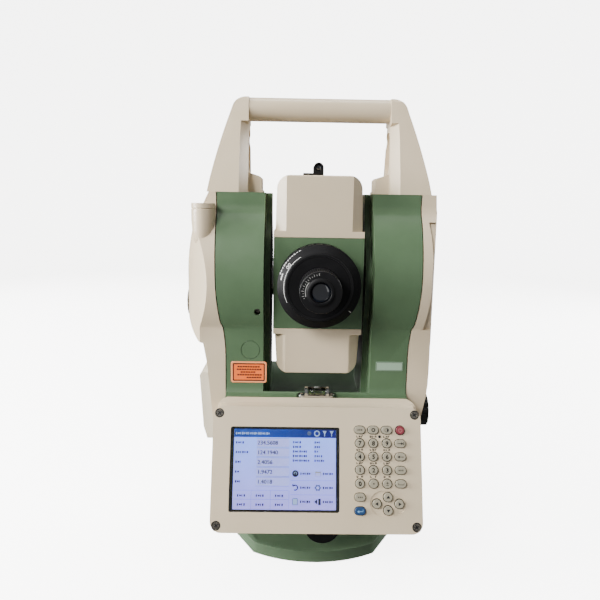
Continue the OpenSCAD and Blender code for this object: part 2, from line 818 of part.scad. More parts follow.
// A telescope cover: height h above the band, along +Z from the origin. Its sides close in
// by taper, and its upright corners are chamfered
module scope_cover(h, taper, corner) {
    w = scope_half_w - 1;
    flange_h = 4.6;
    intersection() {
        union() {
            intersection() {
                along_y(-scope_half_d, scope_half_d) {
                    polygon([
                        [-w, 0], [w, 0], [w - taper, h - corner], [w - taper - corner, h],
                        [corner + taper - w, h], [taper - w, h - corner]
                    ]);
                    for (s = [-1, 1])
                        translate([s * (w - taper - corner), h - corner]) circle(corner);
                }
                linear_extrude(h) polygon([
                    for (c = [[1, 1], [-1, 1], [-1, -1], [1, -1]], q = [0, 1])
                        let (first = (q == 0) == (c[0] * c[1] > 0))
                        first ? [c[0] * scope_half_w, c[1] * (scope_half_d - 6.5)]
                            : [c[0] * 24.5, c[1] * scope_half_d]
                ]);
            }
            translate([-scope_half_w, -scope_half_d, 0])
                cube([2 * scope_half_w, 2 * scope_half_d, flange_h]);
        }
        rod_x(-50, 50, [0, -band_half - 0.2], sweep_r);
    }
}

module scope_cover_shell(h, taper, corner)
    difference() {
        scope_cover(h, taper, corner);
        translate([-24, 9 - scope_half_d, -1]) cube([48, 2 * scope_half_d - 18, h - 7]);
    }

module upper_cover()
    color(beige) difference() {
        translate([0, 0, body_z1 + 0.2])
            scope_cover_shell(upper_h - band_half - 0.2, 1, 10);
        for (y = [-6, 6]) translate([0, y, axis_z + upper_h - 6]) cylinder(h = 8, r = 1.5);
    }

module lower_cover()
    color(beige) translate([0, 0, body_z0 - 0.2]) mirror([0, 0, 1])
        scope_cover_shell(lower_h - band_half - 0.2, 1.6, 9);

module trunnion_shafts() {
    color(steel) for (s = [0, 1]) mirror([s, 0, 0]) {
        rod_x(26, 34, [0, axis_z], 6);
        rod_x(scope_half_w + 0.1, channel_half - 0.5, [0, axis_z], 15);
        rod_x(34, 58, [0, axis_z], trunnion_r);
    }
    // Vertical circle
    color(glass) difference() {
        rod_x(53.5, 55.5, [0, axis_z], 30);
        rod_x(50, 60, [0, axis_z], trunnion_r + 0.02);
    }
}

module objective() {
    color(black) difference() {
        union() {
            rod_y(-20, scope_half_d + 1, [0, axis_z], tube_r - 0.05);
            rod_y(scope_half_d + 0.1, 50, [0, axis_z], 26.5);
            rod_y(49, 78, [0, axis_z], 24);
        }
        rod_y(-21, 60, [0, axis_z], cell_r);
        rod_y(59, 79, [0, axis_z], 20);
        rod_x(-40, 40, [0, axis_z], 6.5);
    }
    color(glass) rod_y(64, 70, [0, axis_z], 19.98);
}

module sight() {
    top = axis_z + upper_h;
    color(black) {
        difference() {
            union() {
                rod_y(-7, 7, [0, top + 7.4], 4);
                translate([-4, -7, top + 0.05]) cube([8, 14, 7.4]);
                translate([-12, -9, top + 0.05]) cube([13, 18, 3]);
            }
            rod_y(-8, -3.5, [0, top + 7.4], 2.9);
            rod_y(3.5, 8, [0, top + 7.4], 2.9);
        }
        for (y = [-6, 6]) translate([0, y, top - 5]) cylinder(h = 6, r = 1.45);
    }
}

module focus_ring()
    color(black) difference() {
        union() {
            rod_y(-57.5, -scope_half_d - gap, [0, axis_z], focus_r);
            translate([0, -57.4, axis_z]) rotate([90, 0, 0])
                cylinder(h = 5.1, r1 = focus_r, r2 = focus_r - 6);
        }
        rod_y(-70, -30, [0, axis_z], 12 + fit);
        // Grip flutes round the rim
        for (i = [0:29]) translate([0, 0, axis_z]) rotate([0, 12 * i, 0])
            translate([focus_r + 0.9, 0, 0]) rod_y(-55, -46, [0, 0], 1.6, $fn = 16);
    }

module diopter_ring()
    color(black) difference() {
        union() {
            rod_y(-66, -48, [0, axis_z], 8);
            rod_y(-86, -64.3, [0, axis_z], 14.5);
            rod_y(-87.2, -85, [0, axis_z], 9.5);
        }
        rod_y(-88, -84, [0, axis_z], 7);
        rod_y(-85, -40, [0, axis_z], 4);
    }

module focusing_lens() {
    color(steel) difference() {
        rod_y(-8, 4, [0, axis_z], cell_r - fit);
        rod_y(-9, 5, [0, axis_z], 13);
    }
    color(glass) rod_y(-4, -1, [0, axis_z], 12.98);
}

// ---------- the nodes ----------

base_plate();
tribrach_body();
circular_level();
centering_base();
foot_screw(foot_angles[0]);  // foot_screw_right
foot_screw(foot_angles[1]);  // foot_screw_left
foot_screw(foot_angles[2]);  // foot_screw_rear
tribrach_lock();
alidade_frame();
vertical_spindle();
left_cover();
right_cover();
carry_handle();
screws();
radio_pod();
panel_housing();
panel_frame();
display_module();
plate_level();
battery_pack();
horizontal_clamp();
horizontal_tangent();
vertical_clamp();
vertical_tangent();
plummet_eyepiece();
telescope_body();
upper_cover();
lower_cover();
trunnion_shafts();
objective();
sight();
focus_ring();
diopter_ring();
focusing_lens();
for (k = KEYS) key(k);
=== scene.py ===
"""Looks of a surveying total station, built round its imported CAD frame.

Metres, +Z up. The keypad faces -Y, and the origin is the tripod thread under the base plate.
"""
import math

import bmesh
import bpy
from mathutils import Matrix, Vector
from mathutils.bvhtree import BVHTree


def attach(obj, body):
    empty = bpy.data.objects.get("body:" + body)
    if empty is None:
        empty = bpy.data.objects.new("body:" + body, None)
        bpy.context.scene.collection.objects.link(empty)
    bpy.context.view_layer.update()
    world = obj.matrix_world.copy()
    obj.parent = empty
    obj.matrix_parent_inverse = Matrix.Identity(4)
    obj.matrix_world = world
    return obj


MM = 0.001
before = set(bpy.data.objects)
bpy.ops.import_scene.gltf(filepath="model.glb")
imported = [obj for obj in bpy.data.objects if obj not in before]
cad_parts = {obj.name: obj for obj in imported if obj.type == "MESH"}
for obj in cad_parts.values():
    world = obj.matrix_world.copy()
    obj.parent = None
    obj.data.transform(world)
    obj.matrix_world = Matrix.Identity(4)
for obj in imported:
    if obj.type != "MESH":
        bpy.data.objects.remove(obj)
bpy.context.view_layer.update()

# ---------------------------------------------------------------- places taken from the CAD
AXIS_Z = 211.5                    # tilting axis
PANEL_TILT = math.radians(19.6)
PANEL_MID = Vector((0, -84.02, 83.98))
SCREEN_MID = (-23.0, -0.15)
KEY_X = [30.6 + 9.7 * c for c in range(4)]
KEY_Y = [27.85 - 9.3 * r for r in range(7)]
PAD = (50.4, -23.0)
KEY_TOP = 1.7                     # height of a key's face above the panel

# Panel space: x across, y up the slope, z out of the face
PANEL = Matrix.Translation(PANEL_MID) @ Matrix.Rotation(math.pi / 2 - PANEL_TILT, 4, "X")
# Eyepiece space: x to the right, y up, z towards the observer, from the tilting axis
EYE = Matrix.Translation((0, 0, AXIS_Z)) @ Matrix.Rotation(math.pi / 2, 4, "X")
# The same towards the target
FAR = EYE @ Matrix.Rotation(math.pi, 4, "Y")
# Front of the standards: x to the right, y up, z towards the observer
FRONT = Matrix.Translation((0, -45, 0)) @ Matrix.Rotation(math.pi / 2, 4, "X")
BACK = Matrix.Rotation(math.pi, 4, "Z") @ FRONT
LEVEL_Y, LEVEL_Z = -52.4, 131.2   # axis of the plate level's vial
TRAY_Y = -51.2


# ---------------------------------------------------------------- materials
def principled(name):
    m = bpy.data.materials.new(name)
    m.use_nodes = True
    return m, m.node_tree, m.node_tree.nodes["Principled BSDF"]


def link(tree, a, b):
    tree.links.new(a, b)


def noise(tree, scale, detail=3.0, rough=0.55, stretch=None):
    """Noise in object coordinates. scale is in features per metre."""
    coord = tree.nodes.new("ShaderNodeTexCoord")
    tex = tree.nodes.new("ShaderNodeTexNoise")
    tex.inputs["Scale"].default_value = scale
    tex.inputs["Detail"].default_value = detail
    tex.inputs["Roughness"].default_value = rough
    source = coord.outputs["Object"]
    if stretch:
        mapping = tree.nodes.new("ShaderNodeMapping")
        mapping.inputs["Scale"].default_value = stretch
        link(tree, source, mapping.inputs["Vector"])
        source = mapping.outputs["Vector"]
    link(tree, source, tex.inputs["Vector"])
    return tex.outputs["Fac"]


def spread(tree, value, low, high):
    node = tree.nodes.new("ShaderNodeMapRange")
    node.inputs["From Min"].default_value = 0.3
    node.inputs["From Max"].default_value = 0.7
    node.inputs["To Min"].default_value = low
    node.inputs["To Max"].default_value = high
    link(tree, value, node.inputs["Value"])
    return node.outputs["Result"]


def mix_color(tree, fac, a, b):
    node = tree.nodes.new("ShaderNodeMix")
    node.data_type = "RGBA"
    node.inputs["A"].default_value = (*a, 1)
    node.inputs["B"].default_value = (*b, 1)
    link(tree, fac, node.inputs["Factor"])
    return node.outputs["Result"]


def bump(tree, shader, layers):
    """layers: (height, strength, distance in mm), stacked."""
    last = None
    for height, strength, distance in layers:
        node = tree.nodes.new("ShaderNodeBump")
        node.inputs["Strength"].default_value = strength
        node.inputs["Distance"].default_value = distance * MM
        link(tree, height, node.inputs["Height"])
        if last:
            link(tree, last, node.inputs["Normal"])
        last = node.outputs["Normal"]
    link(tree, last, shader.inputs["Normal"])


def shade(color, factor):
    return tuple(min(1.0, c * factor) for c in color)


def moulded(name, color, rough=0.42, grain=2600, depth=0.02, vary=0.05, coat=0.0, metal=0.0,
            stain=0.0, gloss=0.5):
    """Moulded plastic or sprayed paint: slow mottling, a fine texture, and uneven gloss."""
    m, tree, shader = principled(name)
    slow = noise(tree, 38, 4)
    base = mix_color(tree, spread(tree, slow, 0, 1), shade(color, 1 - vary), shade(color, 1 + vary))
    if stain:
        # A little dust and yellowing, in soft patches
        patch = noise(tree, 14, 6, 0.62)
        node = tree.nodes.new("ShaderNodeMix")
        node.data_type = "RGBA"
        link(tree, spread(tree, patch, 0, stain), node.inputs["Factor"])
        link(tree, base, node.inputs["A"])
        node.inputs["B"].default_value = (*[c * k for c, k in zip(color, (0.86, 0.80, 0.68))], 1)
        base = node.outputs["Result"]
    link(tree, base, shader.inputs["Base Color"])
    link(tree, spread(tree, noise(tree, 120, 5), rough - 0.05, rough + 0.07),
         shader.inputs["Roughness"])
    shader.inputs["Metallic"].default_value = metal
    shader.inputs["Specular IOR Level"].default_value = gloss
    shader.inputs["Coat Weight"].default_value = coat
    shader.inputs["Coat Roughness"].default_value = 0.25
    bump(tree, shader, [(noise(tree, grain, 2), 0.55, depth), (noise(tree, 320, 3), 0.25, depth)])
    return m


def brushed(name, color, rough=0.3, stretch=(60, 1, 1)):
    m, tree, shader = principled(name)
    lines = noise(tree, 900, 4, 0.6, stretch)
    link(tree, mix_color(tree, spread(tree, lines, 0, 1), shade(color, 0.88), color),
         shader.inputs["Base Color"])
    link(tree, spread(tree, lines, rough - 0.06, rough + 0.08), shader.inputs["Roughness"])
    shader.inputs["Metallic"].default_value = 1.0
    bump(tree, shader, [(lines, 0.3, 0.008)])
    return m


def ink(name, color, rough=0.5, emit=0.0):
    """Printed or lit marks: nearly flat, with a faint unevenness."""
    m, tree, shader = principled(name)
    tone = mix_color(tree, spread(tree, noise(tree, 700, 3), 0, 1), shade(color, 0.93), color)
    link(tree, tone, shader.inputs["Base Color"])
    shader.inputs["Roughness"].default_value = rough
    if emit:
        link(tree, tone, shader.inputs["Emission Color"])
        shader.inputs["Emission Strength"].default_value = emit
    return m


def clear_glass(name, tint, rough=0.02, ior=1.5):
    m, tree, shader = principled(name)
    link(tree, mix_color(tree, spread(tree, noise(tree, 90, 2), 0, 1), shade(tint, 0.97), tint),
         shader.inputs["Base Color"])
    shader.inputs["Roughness"].default_value = rough
    shader.inputs["IOR"].default_value = ior
    shader.inputs["Transmission Weight"].default_value = 1.0
    return m


def coated_lens(name, dark, sheen):
    """A dark lens whose coating shows its colour towards the rim."""
    m, tree, shader = principled(name)
    weight = tree.nodes.new("ShaderNodeLayerWeight")
    weight.inputs["Blend"].default_value = 0.35
    link(tree, mix_color(tree, weight.outputs["Facing"], dark, sheen), shader.inputs["Base Color"])
    link(tree, spread(tree, noise(tree, 300, 2), 0.03, 0.06), shader.inputs["Roughness"])
    shader.inputs["Coat Weight"].default_value = 1.0
    shader.inputs["Coat Roughness"].default_value = 0.02
    shader.inputs["IOR"].default_value = 1.7
    return m


IVORY = (0.550, 0.460, 0.330)
M = {
    "green": moulded("sage_enamel", (0.066, 0.112, 0.058), 0.36, 1500, 0.03, 0.06, 0.06, gloss=0.3),
    # Painted light: a lighter copy of the sage enamel for the base plate and tribrach, standing in
    # for light on the base
    "green_base_lit_copy": moulded("sage_enamel_base_painted_light", (0.078, 0.122, 0.070), 0.36, 1500, 0.03, 0.08,
                              0.06, gloss=0.3),
    "ivory": moulded("ivory_moulding", IVORY, 0.34, 2600, 0.018, 0.025, 0.08, stain=0.35),
    "ivory_panel": moulded("ivory_panel", (0.53, 0.445, 0.32), 0.36, 2800, 0.016, 0.02, stain=0.3),
    "battery": moulded("battery_grey", (0.56, 0.53, 0.44), 0.5, 2200, 0.03, 0.03, stain=0.3),
    "black": moulded("black_moulding", (0.0045, 0.0045, 0.005), 0.38, 2400, 0.02, 0.15, gloss=0.25),
    "anodised": moulded("black_anodised", (0.004, 0.004, 0.0045), 0.33, 3200, 0.008, 0.15,
                         gloss=0.3),
    "rubber": moulded("black_rubber", (0.005, 0.005, 0.0055), 0.5, 1800, 0.03, 0.2, gloss=0.1),
    "steel": brushed("machined_steel", (0.50, 0.51, 0.51)),
    "chrome": brushed("satin_chrome", (0.55, 0.56, 0.55), 0.18, (1, 40, 1)),
    "screw": brushed("screw_steel", (0.30, 0.28, 0.24), 0.28, (1, 1, 1)),
    # Painted shade: near-black for screw slots and recesses, the gaps round screw heads and the
    # lower half of the plate level's vial
    "shade_dark": moulded("painted_shade_dark", (0.006, 0.006, 0.006), 0.5, 2400, 0.02, 0.15),
    "key": moulded("key_cap", (0.27, 0.245, 0.180), 0.40, 3000, 0.015, 0.04),
    "key_red": moulded("key_red", (0.150, 0.020, 0.028), 0.4, 3000, 0.015, 0.04),
    "key_blue": moulded("key_blue", (0.008, 0.038, 0.110), 0.4, 3000, 0.015, 0.04),
    "lcd_edge": moulded("screen_border", (0.004, 0.004, 0.006), 0.2, 3000, 0.003, 0.1, 0.5),
    # Near-black print; also painted shade in the rings round the keys
    "ink_and_shade_dark": ink("print_and_painted_shade_dark", (0.006, 0.006, 0.006)),
    # Pale print; also painted highlight on the levels' bubbles
    "ink_and_highlight_white": ink("print_and_painted_highlight_white", (0.42, 0.42, 0.41)),
    "ink_red": ink("print_red", (0.42, 0.13, 0.14)),
    "ink_blue": ink("print_blue", (0.16, 0.36, 0.62)),
    "ink_soft": ink("print_soft", (0.012, 0.010, 0.008)),
    "orange": moulded("label_orange", (0.84, 0.150, 0.022), 0.4, 900, 0.004, 0.03, 0.3),
    "orange_pale": moulded("label_rim", (0.86, 0.30, 0.12), 0.4, 900, 0.004, 0.03, 0.3),
    "ink_brown": ink("print_brown", (0.022, 0.004, 0.003)),
    "pale_green": moulded("tag_pale_green", (0.25, 0.36, 0.26), 0.4, 900, 0.004, 0.03, 0.3),
    "glass": clear_glass("clear_glass", (0.93, 0.97, 0.96)),
    "vial_fluid": clear_glass("vial_fluid", (0.45, 0.60, 0.25), 0.02, 1.36),
    "lens_eye": coated_lens("lens_eyepiece", (0.004, 0.005, 0.007), (0.05, 0.07, 0.12)),
    "lens_front": coated_lens("lens_objective", (0.006, 0.010, 0.010), (0.06, 0.20, 0.14)),
}

# Which material and which edge rounding, in mm, each CAD node gets
CAD_LOOK = {
    "base_plate": ("green_base_lit_copy", 0.7), "tribrach_body": ("green_base_lit_copy", 0.9),
    "circular_level": ("chrome", 0.3), "centering_base": ("steel", 0.5),
    "foot_screw_right": ("black", 0.5), "foot_screw_left": ("black", 0.5),
    "foot_screw_rear": ("black", 0.5), "tribrach_lock": ("black", 0.8),
    "alidade_frame": ("green", 1.2), "vertical_spindle": ("steel", 0.3),
    "left_cover": ("ivory", 1.0), "right_cover": ("ivory", 1.0),
    "carry_handle": ("ivory", 2.2), "screws": ("screw", 0.15), "radio_pod": ("ivory", 0.5),
    "panel_housing": ("ivory_panel", 1.0), "panel_frame": ("ivory_panel", 0.8),
    "display_module": ("lcd_edge", 0), "plate_level": ("chrome", 0.35),
    "battery_pack": ("battery", 1.2), "horizontal_clamp": ("black", 0.5),
    "horizontal_tangent": ("black", 0.45), "vertical_clamp": ("black", 0.5),
    "vertical_tangent": ("black", 0.45), "plummet_eyepiece": ("anodised", 0.4),
    "telescope_body": ("green", 1.0), "upper_cover": ("ivory", 1.5), "lower_cover": ("ivory", 1.5),
    "trunnion_shafts": ("steel", 0.3), "objective": ("anodised", 0.5), "sight": ("black", 0.5),
    "focus_ring": ("rubber", 0.45), "diopter_ring": ("anodised", 0.5),
    "focusing_lens": ("anodised", 0.2), "key_power": ("key_red", 0.35),
    "key_enter": ("key_blue", 0.35),
}


def near(value, low, high):
    return low - 0.02 <= value <= high + 0.02


# CAD nodes of two solids: the second solid's material, and whether a point, in mm, is on it
SECOND = {
    "base_plate": ("steel", lambda x, y, z: near(z, 7.3, 8.5) and math.hypot(x, y) > 20.2),
    "plate_level": ("glass", lambda x, y, z: abs(x) < 6.97
                    and math.hypot(y - LEVEL_Y, z - LEVEL_Z) < 3.83),
    "circular_level": ("vial_fluid", lambda x, y, z: near(z, 41.6, 46.8)
                       and math.hypot(x - 48.5, y - 28) < 7.13),
    "objective": ("lens_front", lambda x, y, z: near(y, 64, 70)),
}


def dress(node, material, edge):
    """Gives a CAD node its material, and rounds its sharp edges with modifiers only."""
    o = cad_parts[node]
    o.data.materials.clear()
    o.data.materials.append(M[material])
    if node in SECOND:
        second, test = SECOND[node]
        o.data.materials.append(M[second])
        places = [o.matrix_world @ v.co / MM for v in o.data.vertices]
        for p in o.data.polygons:
            p.material_index = int(all(test(*places[i]) for i in p.vertices))
    if "custom_normal" in o.data.attributes:
        o.data.attributes.remove(o.data.attributes["custom_normal"])
    for p in o.data.polygons:
        p.use_smooth = True
    weld = o.modifiers.new("weld", "WELD")
    weld.merge_threshold = 2e-5
    flat = o.modifiers.new("flat", "DECIMATE")
    flat.decimate_type = "DISSOLVE"
    flat.angle_limit = math.radians(0.3)
    flat.delimit = {"MATERIAL"}
    if edge:
        b = o.modifiers.new("edges", "BEVEL")
        b.width = edge * MM
        b.segments = 3
        b.limit_method = "ANGLE"
        b.angle_limit = math.radians(32)
        b.use_clamp_overlap = True
        b.harden_normals = True
        b.miter_outer = "MITER_ARC"
    # Where the rounding had no room, the edge stays sharp
    split = o.modifiers.new("sharp", "EDGE_SPLIT")
    split.split_angle = math.radians(34)
    return o


bpy.context.view_layer.update()
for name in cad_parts:
    dress(name, *CAD_LOOK.get(name, ("key", 0.35)))


# ---------------------------------------------------------------- mesh helpers, in mm
def rounded(w, h, r, n=6):
    """Outline of a rectangle with round corners, centred, counter-clockwise."""
    pts = []
    for cx, cy, a0 in ((w / 2 - r, h / 2 - r, 0), (r - w / 2, h / 2 - r, 90),
                       (r - w / 2, r - h / 2, 180), (w / 2 - r, r - h / 2, 270)):
        for i in range(n + 1):
            a = math.radians(a0 + 90 * i / n)
            pts.append((cx + r * math.cos(a), cy + r * math.sin(a)))
    return pts


def ring_points(r, n=48, a0=0.0, a1=360.0):
    closed = abs(a1 - a0) >= 360
    count = n if closed else n + 1
    return [(r * math.cos(math.radians(a0 + (a1 - a0) * i / n)),
             r * math.sin(math.radians(a0 + (a1 - a0) * i / n))) for i in range(count)]


def add_prism(bm, outline, z0, z1, shift=(0, 0), top_inset=0.0):
    """A solid on an outline; top_inset pulls its upper edge in, as a chamfer."""
    cx = sum(p[0] for p in outline) / len(outline)
    cy = sum(p[1] for p in outline) / len(outline)

    def row(z, inset):
        out = []
        for x, y in outline:
            d = math.hypot(x - cx, y - cy) or 1
            k = 1 - inset / d
            out.append(bm.verts.new((cx + (x - cx) * k + shift[0],
                                     cy + (y - cy) * k + shift[1], z)))
        return out
    rows = [row(z0, 0)]
    if top_inset:
        rows.append(row(z1 - top_inset, 0))
    rows.append(row(z1, top_inset))
    n = len(outline)
    bm.faces.new(list(reversed(rows[0])))
    bm.faces.new(rows[-1])
    for a, b in zip(rows, rows[1:]):
        for i in range(n):
            j = (i + 1) % n
            bm.faces.new([a[i], a[j], b[j], b[i]])


def add_lathe(bm, profile, n=64, shift=(0, 0)):
    """Revolves (r, z) points about Z. A closed solid where the ends are on the axis."""
    rows = []
    for r, z in profile:
        if r < 1e-6:
            rows.append([bm.verts.new((shift[0], shift[1], z))])
        else:
            rows.append([bm.verts.new((shift[0] + x, shift[1] + y, z))
                         for x, y in ring_points(r, n)])
    for a, b in zip(rows, rows[1:]):
        if len(a) == 1 and len(b) == 1:
            continue
        for i in range(n):
            j = (i + 1) % n
            if len(a) == 1:
                bm.faces.new([a[0], b[j], b[i]])
            elif len(b) == 1:
                bm.faces.new([a[i], a[j], b[0]])
            else:
                bm.faces.new([a[i], a[j], b[j], b[i]])


def add_ribbon(bm, points, width, z0, z1, closed=False):
    """A flat strip along (x, y) points."""
    n = len(points)
    sides = []
    for i in range(n):
        a = points[(i - 1) % n] if closed or i else points[i]
        b = points[(i + 1) % n] if closed or i < n - 1 else points[i]
        dx, dy = b[0] - a[0], b[1] - a[1]
        d = math.hypot(dx, dy) or 1
        nx, ny = -dy / d * width / 2, dx / d * width / 2
        x, y = points[i]
        sides.append([bm.verts.new(p) for p in ((x + nx, y + ny, z0), (x - nx, y - ny, z0),
                                                (x - nx, y - ny, z1), (x + nx, y + ny, z1))])
    last = n if closed else n - 1
    for i in range(last):
        a, b = sides[i], sides[(i + 1) % n]
        for k in range(4):
            m = (k + 1) % 4
            bm.faces.new([a[k], b[k], b[m], a[m]])
    if not closed:
        bm.faces.new(sides[0])
        bm.faces.new(list(reversed(sides[-1])))


def add_ring(bm, outer, inner, z0, z1, shift=(0, 0)):
    """A ring between two outlines that have the same number of points."""
    rows = [[bm.verts.new((x + shift[0], y + shift[1], z)) for x, y in pts]
            for pts, z in ((outer, z0), (outer, z1), (inner, z1), (inner, z0))]
    n = len(outer)
    for a, b in zip(rows, rows[1:] + rows[:1]):
        for i in range(n):
            j = (i + 1) % n
            bm.faces.new([a[i], a[j], b[j], b[i]])


def toothed(r, depth, n):
    """Outline of a knurled rim."""
    return [((r - depth * (i % 4 > 1)) * math.cos(math.pi * i / 2 / n),
             (r - depth * (i % 4 > 1)) * math.sin(math.pi * i / 2 / n)) for i in range(4 * n)]


def polar(r, degrees):
    return r * math.cos(math.radians(degrees)), r * math.sin(math.radians(degrees))


def seat(node, start, way):
    """A space on a CAD node's surface, where a line from start meets it, with z outwards."""
    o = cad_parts[node]
    tree = BVHTree.FromPolygons([o.matrix_world @ v.co for v in o.data.vertices],
                                [p.vertices for p in o.data.polygons])
    place, normal, _, _ = tree.ray_cast(Vector(start) * MM, Vector(way))
    if normal.dot(Vector(way)) > 0:
        normal.negate()
    return Matrix.Translation(place / MM) @ normal.to_track_quat("Z", "Y").to_matrix().to_4x4()


def add_digits(bm, text, height, at, z0, depth, turn=0.0):
    """Digits and their signs, as solid shapes, centred on a place."""
    curve = bpy.data.curves.new("digits", "FONT")
    curve.body = text
    curve.size = height * 1.38
    curve.extrude = depth / 2
    curve.align_x = "CENTER"
    curve.resolution_u = 3
    o = bpy.data.objects.new("digits", curve)
    mesh = o.to_mesh()
    ys = [v.co.y for v in mesh.vertices]
    mid = (min(ys) + max(ys)) / 2 if len(text) < 3 else 0
    mesh.transform(Matrix.Translation((at[0], at[1], z0 + depth / 2))
                   @ Matrix.Rotation(math.radians(turn), 4, "Z") @ Matrix.Translation((0, -mid, 0)))
    bm.from_mesh(mesh)
    o.to_mesh_clear()
    bpy.data.objects.remove(o)
    bpy.data.curves.remove(curve)


def piece(name, bm, space, material, body, edge=0.0, smooth=True, angle=32):
    """Makes a mesh in a space, in mm, into a piece that rides on a body."""
    bmesh.ops.remove_doubles(bm, verts=bm.verts, dist=1e-5)
    bmesh.ops.recalc_face_normals(bm, faces=bm.faces)
    mesh = bpy.data.meshes.new(name)
    bm.to_mesh(mesh)
    bm.free()
    mesh.transform(Matrix.Scale(MM, 4) @ space)
    mesh.materials.append(M[material])
    o = bpy.data.objects.new(name, mesh)
    bpy.context.scene.collection.objects.link(o)
    if smooth:
        for p in mesh.polygons:
            p.use_smooth = True
        mesh.set_sharp_from_angle(angle=math.radians(angle))
    if edge:
        b = o.modifiers.new("edges", "BEVEL")
        b.width = edge * MM
        b.segments = 2
        b.limit_method = "ANGLE"
        b.angle_limit = math.radians(35)
        b.harden_normals = smooth
    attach(o, body)
    return o


def at(space, x, y, z, turn=0.0, axis="Z"):
    return space @ Matrix.Translation((x, y, z)) @ Matrix.Rotation(math.radians(turn), 4, axis)


WORLD = Matrix.Identity(4)


# ---------------------------------------------------------------- screen
def gradient(name, low, high, axis, start, end, emit, rough=0.3):
    """A lit surface whose colour runs along one axis of the row frame, between two places in mm."""
    m, tree, shader = principled(name)
    coord = tree.nodes.new("ShaderNodeTexCoord")
    parts = tree.nodes.new("ShaderNodeSeparateXYZ")
    link(tree, coord.outputs["Object"], parts.inputs["Vector"])
    run = tree.nodes.new("ShaderNodeMapRange")
    run.inputs["From Min"].default_value = start * MM
    run.inputs["From Max"].default_value = end * MM
    link(tree, parts.outputs[axis], run.inputs["Value"])
    tone = mix_color(tree, run.outputs["Result"], low, high)
    link(tree, tone, shader.inputs["Base Color"])
    link(tree, tone, shader.inputs["Emission Color"])
    shader.inputs["Emission Strength"].default_value = emit
    shader.inputs["Roughness"].default_value = rough
    return m


LCD = at(PANEL, SCREEN_MID[0], SCREEN_MID[1], 0)
LCD_W, LCD_H = 73.2, 55.6
M["lcd_back"] = gradient("lcd_background", (0.34, 0.31, 0.88), (0.27, 0.42, 1.15),
                         "Z", 60, 110, 1.25)
M["lcd_title"] = gradient("lcd_title_bar", (0.004, 0.07, 0.48), (0.001, 0.008, 0.22),
                          "X", -40, 8, 0.3)
M["lcd_box"] = ink("lcd_box", (0.38, 0.40, 0.88), 0.3, 1.15)
M["lcd_line"] = ink("lcd_line", (0.10, 0.11, 0.26), 0.3, 0.3)
M["lcd_text"] = ink("lcd_text", (0.012, 0.014, 0.045), 0.3, 0.1)
M["lcd_white"] = ink("lcd_white", (0.42, 0.56, 0.90), 0.3, 0.5)
M["lcd_dark"] = ink("lcd_dark", (0.012, 0.016, 0.06), 0.3, 0.05)
M["lcd_tan"] = ink("lcd_tan", (0.42, 0.42, 0.30), 0.3, 0.35)
M["lcd_steel"] = ink("lcd_steel", (0.10, 0.14, 0.28), 0.3, 0.25)


def lcd(fx, fy):
    """A place on the lit area from fractions across and down."""
    return (LCD_W * (fx - 0.5), LCD_H * (0.5 - fy))


